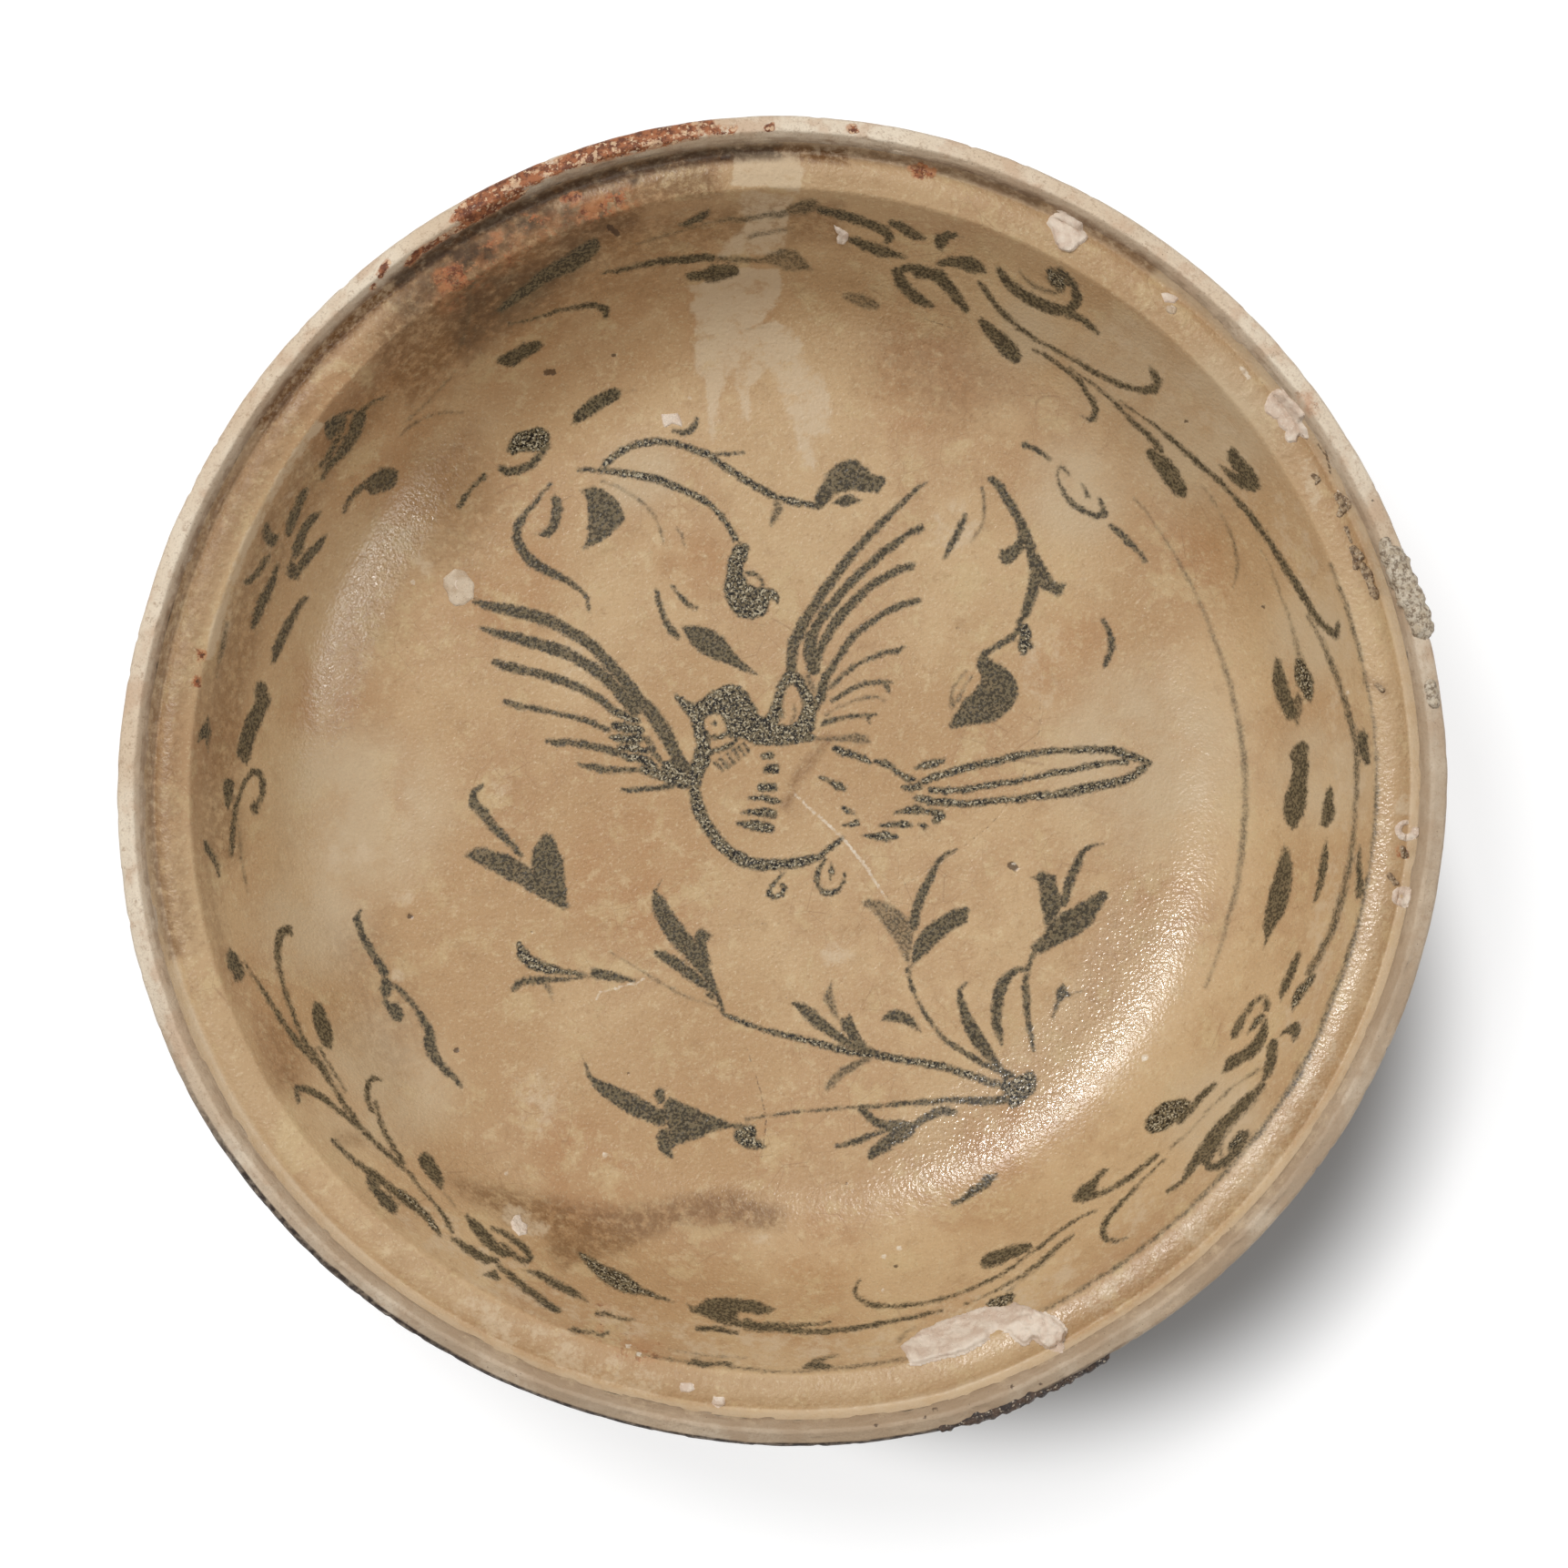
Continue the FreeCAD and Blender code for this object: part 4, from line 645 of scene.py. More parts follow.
def arc(near, far, a, b):
    """A piece of a ring in the photo, between two radii in pixels and two angles in degrees."""
    out = []
    for k in range(13):
        t = math.radians(a + (b - a) * k / 12)
        out.append((RIM_MIDDLE + far * math.cos(t), RIM_MIDDLE - far * math.sin(t)))
        out.insert(0, (RIM_MIDDLE + near * math.cos(t), RIM_MIDDLE - near * math.sin(t)))
    return sum(out, ())


# Stains, painted shade and painted light: channel, strength, softness in pixels, then the outline in the
# photo.
RUST, BROWN, PALE, GREY = 0, 1, 2, 3
STAINS_AND_PAINTED_LIGHT = [
    (RUST, 1.0, 3, (494,243, 506,224, 524,211, 540,203, 560,193, 585,180, 602,178, 606,186, 582,200,
        570,211, 552,222, 534,233, 522,242, 503,244)),
    (RUST, 1.0, 3, (606,178, 625,168, 645,159, 665,153, 685,146, 706,141, 730,137, 760,133, 782,131,
        786,140, 776,150, 760,152, 740,155, 722,160, 705,165, 692,167, 676,174, 660,177, 640,181, 630,184,
        620,182, 612,184)),
    (RUST, 0.75, 3, (560,204, 580,192, 610,178, 640,168, 672,156, 720,146, 760,140, 808,138, 806,148,
        770,151, 730,160, 690,170, 650,180, 620,188, 590,202, 566,216)),
    (RUST, 1.0, 2, (444,290, 452,280, 466,270, 482,261, 500,250, 516,240, 540,229, 560,218, 574,208,
        577,212, 560,224, 540,235, 518,246, 500,256, 484,266, 468,276, 450,292)),
    (RUST, 0.7, 3, (413,302, 424,286, 430,290, 418,306)),
    (RUST, 0.6, 3, (406,314, 412,312, 413,318, 407,320)),
    (RUST, 0.9, 4, (616,218, 630,212, 640,214, 634,220, 620,224)),
    (RUST, 0.55, 7, (476,300, 500,290, 520,300, 506,318, 486,324)),
    (RUST, 0.5, 5, (574,236, 590,236, 592,248, 578,250)),
    (RUST, 0.5, 5, (538,256, 552,256, 552,268, 540,270)),
    (RUST, 0.4, 10, (632,228, 690,206, 700,226, 650,244)),
    (RUST, 0.8, 3, (838,136, 848,135, 850,143, 840,144)),
    (RUST, 0.8, 3, (932,138, 940,137, 942,145, 934,146)),
    (RUST, 0.8, 4, (998,184, 1012,180, 1028,186, 1026,194, 1006,194)),
    (RUST, 0.2, 5, (1422,430, 1440,430, 1454,440, 1452,456, 1438,460, 1424,440)),
    (RUST, 0.7, 4, (218,714, 226,716, 226,726, 218,726)),
    (RUST, 0.6, 4, (213,742, 221,744, 220,754, 212,752)),
    (RUST, 0.13, 7, (668,1464, 700,1462, 732,1474, 730,1500, 700,1502, 672,1490)),
    (RUST, 0.15, 5, (655,1428, 672,1434, 670,1450, 660,1476, 652,1464)),
    (RUST, 0.5, 4, (1534,930, 1545,930, 1547,942, 1536,942)),
    (GREY, 0.85, 8, (484,272, 506,266, 540,262, 552,272, 540,288, 512,298, 490,292)),
    (GREY, 0.8, 8, (546,240, 560,228, 590,224, 612,230, 610,244, 580,256, 552,256)),
    (GREY, 0.6, 10, (600,232, 640,222, 672,226, 664,244, 620,252)),
    (GREY, 0.8, 6, (464,308, 476,302, 490,306, 486,318, 470,322)),
    (GREY, 0.8, 3, (670,208, 680,206, 681,214, 672,216)),
    (GREY, 0.8, 3, (679,217, 686,215, 688,223, 680,224)),
    (GREY, 0.8, 3, (691,196, 700,192, 703,202, 694,206)),
    (GREY, 0.7, 3, (661,222, 668,220, 670,227, 663,228)),
    (GREY, 0.6, 8, (512,306, 524,304, 534,330, 530,350, 518,350, 512,330)),
    (GREY, 0.4, 12, (575,206, 630,190, 696,176, 698,188, 640,206, 590,224)),
    (GREY, 0.35, 10, (600,262, 660,240, 700,236, 702,250, 650,262, 612,278)),
    (BROWN, 0.5, 20, (285,1120, 330,1130, 336,1200, 300,1196)),
    (BROWN, 0.5, 10, (370,1244, 400,1246, 400,1258, 372,1258)),
    (BROWN, 0.72, 11, (492,1292, 510,1297, 560,1308, 600,1315, 650,1322, 680,1327, 720,1322, 760,1312,
        800,1308, 835,1318, 862,1332, 858,1350, 835,1352, 800,1346, 750,1346, 715,1360, 690,1375,
        640,1385, 620,1395, 605,1380, 600,1352, 560,1345, 530,1325, 505,1312)),
    (BROWN, 0.6, 6, (905,808, 920,808, 880,860, 868,890, 856,888, 872,850)),
    (BROWN, 0.6, 8, (1503,742, 1528,758, 1524,766, 1502,752)),
    (BROWN, 0.35, 30, (460,500, 520,470, 560,560, 520,640, 470,620)),
    (BROWN, 0.3, 30, (360,1020, 420,1010, 470,1120, 440,1200, 380,1150)),
    (BROWN, 0.3, 34, (960,350, 1060,360, 1120,430, 1040,470, 960,430)),
    (BROWN, 0.75, 16, (404,372, 440,322, 490,276, 560,238, 640,206, 700,192, 716,214, 704,262, 640,300,
        560,344, 500,404, 452,446, 420,420)),
    (RUST, 0.15, 14, (470,330, 500,286, 560,246, 640,214, 700,200, 706,226, 650,250, 590,280, 530,320,
        490,356)),
    # Painted shade: the brown and grey arcs below darken the gutter, flange, ridge and upper wall from the
    # top round to the left, where the lip and the ridge cast shadow.
    (BROWN, 0.4, 10, arc(662, 704, 140, 196)),
    (BROWN, 0.7, 6, arc(686, 702, 150, 196)),
    (BROWN, 0.35, 6, arc(634, 652, 168, 200)),
    (BROWN, 0.55, 12, arc(598, 642, 84, 188)),
    (BROWN, 0.75, 8, arc(650, 684, 96, 124)),
    (BROWN, 1.0, 5, arc(684, 703, 84, 146)),
    (BROWN, 0.75, 5, arc(690, 703, 54, 84)),
    (GREY, 0.8, 5, arc(686, 703, 90, 128)),
    (GREY, 0.35, 5, arc(690, 703, 66, 90)),
    # Painted light: the pale arcs below lighten the wall, flange and gutter on the lit side at the bottom
    # and right; the last one is a painted highlight along the ridge at the upper left.
    (PALE, 0.42, 14, arc(598, 644, -132, -58)),
    (PALE, 0.34, 14, arc(598, 644, -56, 56)),
    (PALE, 0.4, 8, arc(652, 704, -122, -101)),
    (PALE, 0.4, 8, arc(652, 704, -60, -24)),
    (PALE, 0.36, 6, arc(686, 704, -100, -60)),
    (PALE, 0.8, 3, arc(640, 651, 142, 168)),
    (GREY, 0.5, 12, (430,330, 470,290, 520,262, 560,250, 570,268, 520,296, 480,330, 446,356)),
    (GREY, 0.55, 16, (496,336, 520,306, 600,286, 640,258, 654,278, 604,332, 544,372, 512,396, 494,372)),
    (BROWN, 0.45, 30, (400,400, 470,340, 560,290, 660,256, 760,236, 790,250, 760,300, 660,330, 560,380,
        480,440, 420,450)),
    (PALE, 0.9, 3, (808,166, 880,166, 882,195, 878,212, 858,209, 832,205, 803,204, 806,185)),
    (PALE, 0.75, 4, (815,210, 875,213, 866,230, 866,260, 863,282, 835,279, 790,285, 788,278, 818,250,
        820,240, 812,230, 808,222)),
    (PALE, 0.85, 3, (755,315, 790,304, 815,294, 857,294, 859,322, 852,338, 838,352, 815,365, 802,380,
        762,368, 760,348, 756,335, 765,328)),
    (PALE, 0.75, 4, (762,366, 765,408, 774,422, 780,488, 787,488, 791,430, 805,412, 816,465, 824,462,
        825,426, 845,408, 868,470, 880,506, 898,520, 894,482, 912,480, 916,445, 902,405, 886,392, 880,366,
        850,352, 815,364)),
    (PALE, 0.4, 14, (352,905, 410,900, 415,955, 360,960)),
    (PALE, 0.4, 8, (430,580, 470,576, 480,606, 470,640, 450,620, 436,610)),
    (PALE, 0.35, 10, (430,968, 456,968, 458,994, 432,996)),
    (PALE, 0.35, 10, (1178,622, 1204,622, 1204,644, 1180,646)),
    (PALE, 0.35, 10, (1308,848, 1332,850, 1334,874, 1310,876)),
    (PALE, 0.4, 6, (536,850, 550,845, 564,850, 565,870, 550,875, 537,870)),
    (PALE, 0.5, 4, (430,1066, 444,1066, 445,1079, 430,1080)),
    (PALE, 0.85, 3, (551,1325, 560,1316, 567,1320, 575,1332, 590,1340, 607,1350, 597,1357, 580,1358,
        562,1352, 551,1340)),
    (PALE, 0.6, 4, (822,1356, 856,1354, 860,1364, 850,1370, 820,1366)),
    # Painted highlights: the three pale streaks below are sheen along the ridge and the upper wall at the
    # left, the upper right and the lower left.
    (PALE, 0.3, 7, (336,500, 352,504, 300,600, 262,680, 236,760, 224,760, 244,680, 288,590)),
    (PALE, 0.35, 8, (1304,412, 1316,408, 1400,510, 1466,636, 1454,642, 1390,520)),
    (PALE, 0.35, 8, (458,1358, 540,1410, 644,1464, 638,1476, 530,1424, 456,1372)),
    (PALE, 0.7, 5, (1428,505, 1440,500, 1450,520, 1453,560, 1446,566, 1436,545, 1424,520)),
    (PALE, 0.7, 3, (1533,875, 1540,872, 1556,874, 1557,892, 1548,899, 1536,892)),
    (PALE, 0.6, 5, (900,1040, 930,1030, 940,1050, 925,1066, 904,1062)),
    (PALE, 0.5, 9, (1020,560, 1060,548, 1080,580, 1050,610, 1024,596)),
    (PALE, 0.4, 12, (610,700, 640,690, 652,740, 630,770, 606,744)),
    (PALE, 0.4, 12, (1120,700, 1160,690, 1180,740, 1150,780, 1116,750)),
    (PALE, 0.4, 14, (560,1180, 620,1170, 640,1220, 590,1250, 552,1224)),
]
# Broad patches where the glaze is pinker and darker; the three large ones at the upper left are painted
# shade, warming and darkening the side that lies in shadow.
WARM = [
    (430, 470, 140), (560, 340, 150), (700, 300, 140), (800, 330, 90), (560, 640, 90), (700, 960, 110),
    (420, 880, 60), (1010, 420, 90), (1180, 720, 80), (1280, 980, 60), (640, 1290, 90), (900, 1380, 70),
    (350, 760, 70), (1320, 620, 60), (1100, 1250, 70), (760, 620, 60),
]
# Broad patches where it is paler and greyer.
MILKY = [
    (1260, 830, 150), (1450, 850, 80), (1440, 700, 70), (400, 890, 130), (340, 1010, 90),
    (1320, 470, 120), (1230, 400, 80), (1180, 540, 80), (420, 1190, 110), (700, 520, 60), (1130, 360, 60),
    (1330, 1220, 80),
]

def dot(x, y, width):
    """A round mark as a very short line."""
    return x, y, width, x + 1, y, width


# Small sharp marks: dark ones are pits and cracks, pale ones are chips and scratches.
DARK = [
    (600, 409, 7, 608, 409, 7), (670, 250, 7, 678, 256, 7), (793, 174, 4, 801, 174, 4),
    (1111, 951, 9, 1115, 954, 8), (1144, 1520, 5, 1145, 1520, 4),
    (1448, 488, 2, 1458, 500, 3, 1462, 520, 2),
    (1143, 745, 0, 1143, 800, 0.3, 1125, 850, 0.3, 1110, 880, 0.3, 1090, 905, 0.3, 1060, 930, 0.2,
     1005, 965, 0, 975, 985, 0),
    (820, 1150, 0, 836, 1200, 0.8, 842, 1230, 1.0, 839, 1258, 0.8, 837, 1272, 0),
    (975, 341, 0, 1000, 347, 0.6, 1020, 352, 0.6, 1065, 366, 0),
    (780, 1018, 0, 880, 1013, 0, 915, 1007, 0), (217, 748, 4, 217, 749, 4),
] + [dot(*place) for place in (
    (674, 391, 4), (501, 1154, 6), (450, 1007, 6), (1303, 463, 4), (1388, 667, 4), (984, 1391, 4),
    (1112, 1524, 5), (1063, 1543, 4), (1027, 1549, 5), (1015, 1557, 4), (962, 1566, 5), (1509, 551, 4),
    (1588, 895, 4), (222, 720, 4), (1145, 1465, 5), (583, 1024, 2), (1296, 1010, 2.5), (690, 1180, 2.5),
    (1052, 690, 2.5), (930, 1300, 3), (1230, 830, 2.5),
)]
LIGHT = [
    (872, 872, 2, 925, 920, 3.6, 950, 950, 3.6, 975, 990, 2),
    (655, 1098, 2, 660, 1090, 2.5, 680, 1085, 2.5, 700, 1080, 2.5, 710, 1074, 2),
    (1365, 405, 5, 1372, 415, 5), (1470, 540, 3, 1476, 548, 4, 1474, 556, 3), (1113, 949, 2, 1115, 950, 2),
] + [dot(*place) for place in (
    (664, 1269, 6), (556, 1289, 5), (988, 1372, 5), (971, 1381, 5), (970, 1418, 4), (1257, 1162, 7),
    (1480, 761, 4), (453, 640, 5), (690, 1479, 5), (702, 1488, 5), (755, 1525, 6), (790, 1540, 6),
    (1488, 502, 5), (295, 415, 5), (757, 437, 4),
)]


def depth_at(xx, yy, pts, closed):
    """How deep points of the photo lie inside a stroke, in pixels; below zero outside it."""
    p = np.array(pts, float).reshape(-1, 2 if closed else 3)
    depth = np.full(xx.shape, -99.0)
    ends = np.roll(p, -1, 0) if closed else p[1:]
    inside = np.zeros(xx.shape, bool)
    for a, b in zip(p, ends):
        dx, dy = b[0] - a[0], b[1] - a[1]
        f = np.clip(((xx - a[0]) * dx + (yy - a[1]) * dy) / max(dx * dx + dy * dy, 1e-9), 0, 1)
        away = np.hypot(xx - a[0] - f * dx, yy - a[1] - f * dy)
        if closed:
            depth = np.maximum(depth, -away)
            crosses = (a[1] > yy) != (b[1] > yy)
            at = a[0] + (yy - a[1]) * dx / (dy if dy else 1e-9)
            inside ^= crosses & (xx < at)
        else:
            depth = np.maximum(depth, (a[2] + (b[2] - a[2]) * f) / 2 - away)
    return np.where(inside, -depth, depth) if closed else depth


def lowest(pts, closed, margin=9):
    """The window of pixels near a stroke, and how deep each lies inside it."""
    p = np.array(pts, float).reshape(-1, 2 if closed else 3)
    lo = np.maximum(np.floor(p[:, :2].min(0)).astype(int) - margin - 12, 0)
    hi = np.minimum(np.ceil(p[:, :2].max(0)).astype(int) + margin + 12, PHOTO - 1)
    window = (slice(lo[1], hi[1] + 1), slice(lo[0], hi[0] + 1))
    yy, xx = np.mgrid[window]
    return window, depth_at(xx, yy, pts, closed)


ink = np.full((PHOTO, PHOTO), -9.0)
tone = np.zeros((PHOTO, PHOTO))
dark = np.full((PHOTO, PHOTO), -9.0)
light = np.full((PHOTO, PHOTO), -9.0)
stain_and_painted_light = np.zeros((PHOTO, PHOTO, 4))
for kind, strength, pts in STROKES:
    window, depth = lowest(pts, kind == "c")
    if kind == "e":
        ink[window] = np.minimum(ink[window], -depth)
        continue
    better = depth > ink[window]
    ink[window] = np.where(better, depth, ink[window])
    tone[window] = np.where(better, strength, tone[window])
for field, marks in ((dark, DARK), (light, LIGHT)):
    for pts in marks:
        window, depth = lowest(pts, False)
        field[window] = np.maximum(field[window], depth)
# Stains, painted shade and painted light, channel by channel.
for channel, strength, soft, pts in STAINS_AND_PAINTED_LIGHT:
    window, depth = lowest(pts, True, 24)
    part = stain_and_painted_light[window]
    part[..., channel] = np.maximum(part[..., channel], strength * smooth(depth, -soft, soft))


def spots(places):
    """Broad soft round patches, as a field of the photo's pixels."""
    yy, xx = np.mgrid[0:PHOTO + 1:4, 0:PHOTO + 1:4]
    field = np.zeros(xx.shape)
    for x, y, size in places:
        field = np.maximum(field, 1 - smooth(np.hypot(xx - x, yy - y), size * 0.35, size))
    return np.kron(field, np.ones((4, 4)))[:PHOTO, :PHOTO]


warm, milky = spots(WARM), spots(MILKY)


def sampled(field, x, y):
    """The field's value at pixel positions, between the pixels too."""
    x = np.clip(x, 0, PHOTO - 1.001)
    y = np.clip(y, 0, PHOTO - 1.001)
    i, j = np.floor(x).astype(int), np.floor(y).astype(int)
    fx, fy = x - i, y - j
    if field.ndim == 3:
        fx, fy = fx[..., None], fy[..., None]
    top = field[j, i] * (1 - fx) + field[j, i + 1] * fx
    low = field[j + 1, i] * (1 - fx) + field[j + 1, i + 1] * fx
    return top * (1 - fy) + low * fy


# Meshes

def make_piece(name, verts, faces, nodes, material, normals=None):
    """A piece of the bowl from points in millimetres."""
    mesh = bpy.data.meshes.new(name)
    mesh.from_pydata((np.asarray(verts) / 1000).tolist(), [], [list(map(int, f)) for f in faces])
    mesh.validate()
    mesh.polygons.foreach_set("use_smooth", [True] * len(mesh.polygons))
    mesh.materials.append(material)
    piece = bpy.data.objects.new(name, mesh)
    bpy.context.scene.collection.objects.link(piece)
    if normals is not None:
        mesh.normals_split_custom_set_from_vertices(normals.tolist())
    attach(piece, "root")
    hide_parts(*nodes)
    return piece


def attribute(piece, name, values):
    """Gives each of a piece's points a value that its material reads."""
    layer = piece.data.attributes.new(name, "FLOAT", "POINT")
    layer.data.foreach_set("value", np.asarray(values, np.float32).ravel())


def paint(piece, points, shown=1.0):
    """Puts the photo's drawing, stains, painted shade and painted light on a piece's points."""
    x, y = to_photo(points)
    low = -9 * (1 - np.asarray(shown))
    attribute(piece, "ink", sampled(ink, x, y) * shown + low)
    attribute(piece, "tone", sampled(tone, x, y))
    attribute(piece, "dark", sampled(dark, x, y) * shown + low)
    attribute(piece, "light", sampled(light, x, y) * shown + low)
    marks = sampled(stain_and_painted_light, x, y) * (shown if np.ndim(shown) == 0 else np.asarray(shown)[:, None])
    for k, name in enumerate(("rust", "brown", "pale", "grey")):
        attribute(piece, name, marks[..., k])
    attribute(piece, "warm", sampled(warm, x, y) * shown)
    attribute(piece, "milky", sampled(milky, x, y) * shown)


def grown(mask):
    """The mask with its neighbours in all eight directions."""
    p = np.pad(mask, 1)
    out = np.zeros_like(mask)
    n = mask.shape[0]
    for i in range(3):
        for j in range(3):
            out |= p[i:i + n, j:j + mask.shape[1]]
    return out


def leaves(need):
    """Faces of a square grid that is fine where need says and coarse elsewhere, with no open joints."""
    n = need.shape[0]
    index = np.arange((n + 1) ** 2).reshape(n + 1, n + 1)
    split1 = need.reshape(n // 2, 2, n // 2, 2).any((1, 3))
    split0 = grown(split1).reshape(n // 4, 2, n // 4, 2).any((1, 3))
    faces = []

    def quads(i, j, s):
        faces.extend(np.stack([index[i, j], index[i + s, j], index[i + s, j + s], index[i, j + s]], -1))

    two = np.ones((2, 2), bool)
    i, j = np.nonzero(np.kron(split1, two))
    quads(i, j, 1)
    for s, leaf, finer in ((2, np.kron(split0, two) & ~split1, split1), (4, ~split0, split0)):
        p = np.pad(finer, 1)
        sides = np.stack([p[1:-1, :-2], p[2:, 1:-1], p[1:-1, 2:], p[:-2, 1:-1]], -1)
        mixed = leaf & sides.any(-1)
        i, j = np.nonzero(leaf & ~mixed)
        quads(i * s, j * s, s)
        h = s // 2
        for i, j in np.argwhere(mixed):
            a, b = i * s, j * s
            c, d, e, f = a + h, a + s, b + h, b + s
            ring = [(a, b), (c, b), (d, b), (d, e), (d, f), (c, f), (a, f), (a, e)]
            keep = [True, sides[i, j, 0], True, sides[i, j, 1], True, sides[i, j, 2], True, sides[i, j, 3]]
            ring = [index[q] for q, k in zip(ring, keep) if k]
            middle = index[c, e]
            faces.extend([middle, ring[k], ring[(k + 1) % len(ring)]] for k in range(len(ring)))
    return faces


def kept_points(faces, count):
    """The points that faces use, and the faces numbered by them."""
    used = np.unique(np.concatenate([np.asarray(f) for f in faces]))
    place = np.full(count, -1)
    place[used] = np.arange(len(used))
    return used, [place[np.asarray(f)] for f in faces]


def touched(inner):
    """The cells of a grid with a corner that is marked."""
    return inner[:-1, :-1] | inner[1:, :-1] | inner[:-1, 1:] | inner[1:, 1:]


def polar(p):
    """Radius in millimetres and angle in degrees of points."""
    return np.hypot(p[..., 0], p[..., 1]), np.degrees(np.arctan2(p[..., 1], p[..., 0]))


def disc_points(n, radius):
    """A square grid of n cells laid over a disc, so that its rings follow the bowl's turning."""
    line = np.linspace(-radius, radius, n + 1)
    a, b = np.meshgrid(line, line, indexing="ij")
    wide = np.abs(a) > np.abs(b)
    r = np.where(wide, a, b)
    safe = np.where(r == 0, 1, r)
    angle = np.where(wide, math.pi / 4 * b / safe, math.pi / 2 - math.pi / 4 * a / safe)
    return r * np.cos(angle), r * np.sin(angle)


def make_inner_coat(material):
    """The glazed inside, fine along the drawing, the pits and the ridge."""
    n = COAT_CELLS
    x, y = disc_points(n, LIP_EDGE)
    r = np.hypot(x, y)
    flat = np.stack([x, y, np.zeros_like(x)], -1)
    relief = 0.09 * grain(flat, 30, 1) + 0.05 * grain(flat, 11, 2) + 0.025 * grain(flat, 4.5, 3)
    wheel = grain(np.stack([r, r * 0, r * 0], -1), 5.0, 4)
    relief += 0.05 * wheel * smooth(r, 6, 30)
    sandy = smooth(r, 156.5, 160) * (1 - smooth(r, 165.5, 167.5)) * smooth(grain(flat, 26, 5), -0.35, 0.4)
    relief += sandy * (0.10 * grain(flat, 2.2, 6) + 0.09 * grain(flat, 1.2, 7))
    top = coat_z(r) + relief * (1 - 0.2 * smooth(r, 160, 167))
    edge = smooth(r, LIP_EDGE - 2.0, LIP_EDGE)
    top = top * (1 - edge) + (clay_z(r) + 0.02) * edge
    p = warped(np.stack([x, y, top], -1))
    u, v = to_photo(p)
    pit = sampled(dark, u, v)
    p[..., 2] -= 0.22 * smooth(pit, -1.2, 1.5) * (1 - smooth(r, 164, 167))
    p[..., 2] += 0.05 * smooth(sampled(light, u, v), -1.5, 1.5) * (1 - smooth(r, 164, 167))
    du, dv = np.gradient(p, axis=0), np.gradient(p, axis=1)
    normal = np.cross(du, dv)
    normal /= np.linalg.norm(normal, axis=-1, keepdims=True)
    mid = (p[:-1, :-1] + p[1:, 1:]) / 2
    u, v = to_photo(mid)
    rm = (r[:-1, :-1] + r[1:, 1:]) / 2
    close = np.maximum(np.maximum(sampled(ink, u, v), sampled(dark, u, v)), sampled(light, u, v))
    need = (close > -2.6) & (sampled(ink, u, v) < 3.6)
    need |= (np.abs(rm - RIDGE) < 1.0) | (rm > LIP_EDGE - 1.2)
    faces = leaves(need)
    under = warped(np.stack([x, y, clay_z(r) - 0.12], -1))
    rim = np.zeros((n + 1, n + 1), bool)
    rim[[0, -1], :] = rim[:, [0, -1]] = True
    size = (n + 1) ** 2
    below = np.where(rim.ravel(), np.arange(size), np.arange(size) + size)
    hidden = leaves((rm > LIP_EDGE - 1.0))
    faces = faces + [[below[k] for k in reversed(f)] for f in hidden]
    points = np.concatenate([p.reshape(-1, 3), under.reshape(-1, 3)])
    normals = np.concatenate([normal.reshape(-1, 3), np.tile([0.0, 0.0, -1.0], (size, 1))])
    used, faces = kept_points(faces, 2 * size)
    piece = make_piece("inner_glaze_coat", points[used], faces, ["inner_glaze"], material,
                       normals[used])
    paint(piece, points[used])
    far, facing = polar(points[used])
    patchy = 0.35 + 0.65 * smooth(grain(points[used] * [1, 1, 0], 26, 5), -0.35, 0.4)
    shiny = np.maximum(
        band(far, 95, 118, 5) * band(facing, -72, -14, 12),
        np.maximum(band(far, 119, 131, 3) * band(facing, 141, 172, 7),
                   0.75 * band(far, 158, 163.5, 1.2) * band(facing, -70, 0, 16)))
    sand = smooth(far, 156, 158.5) * (1 - smooth(far, 165, 167))
    attribute(piece, "sand", sand * patchy * (1 - 0.6 * shiny))
    attribute(piece, "worn", smooth(far, 150.5, 153) * (1 - smooth(far, 156.5, 158)) * (1 - shiny))
    attribute(piece, "shiny", shiny)
    attribute(piece, "thin", smooth(far, 165.6, 167.4))
    return piece


def lathe(name, line, turns, relief, nodes, material, closed=False):
    """Turns a line of (r, z) points round the axis: a closed line into a ring, an open one into a solid."""
    angle = np.arange(turns) * 2 * math.pi / turns
    rings = line if closed else line[1:-1]
    r, z = rings[:, 0][:, None], rings[:, 1][:, None]
    p = np.stack([r * np.cos(angle), r * np.sin(angle), z + 0 * angle], -1)
    p = relief(p, rings, angle)
    verts = p.reshape(-1, 3)
    count = len(rings)
    faces = []
    k = np.arange(turns)
    nxt = (k + 1) % turns
    for i in range(count if closed else count - 1):
        a, b = i * turns, (i + 1) % count * turns
        faces.extend(np.stack([a + nxt, a + k, b + k, b + nxt], -1))
    if not closed:
        ends = np.array([[0, 0, line[0][1]], [0, 0, line[-1][1]]], float)
        verts = np.concatenate([verts, ends])
        top, low = count * turns, count * turns + 1
        faces.extend(np.stack([k, nxt, k * 0 + top], -1))
        last = (count - 1) * turns
        faces.extend(np.stack([last + nxt, last + k, k * 0 + low], -1))
    return make_piece(name, verts, faces, nodes, material), verts


def pushed(p, rings, amount):
    """Moves turned points along the outward direction of their line by amount."""
    t = np.gradient(rings, axis=0)
    t /= np.maximum(np.linalg.norm(t, axis=1, keepdims=True), 1e-9)
    out_r, out_z = -t[:, 1][:, None], t[:, 0][:, None]
    r = np.hypot(p[..., 0], p[..., 1])
    out = p.copy()
    out[..., 0] += amount * out_r * p[..., 0] / r
    out[..., 1] += amount * out_r * p[..., 1] / r
    out[..., 2] += amount * out_z
    return out


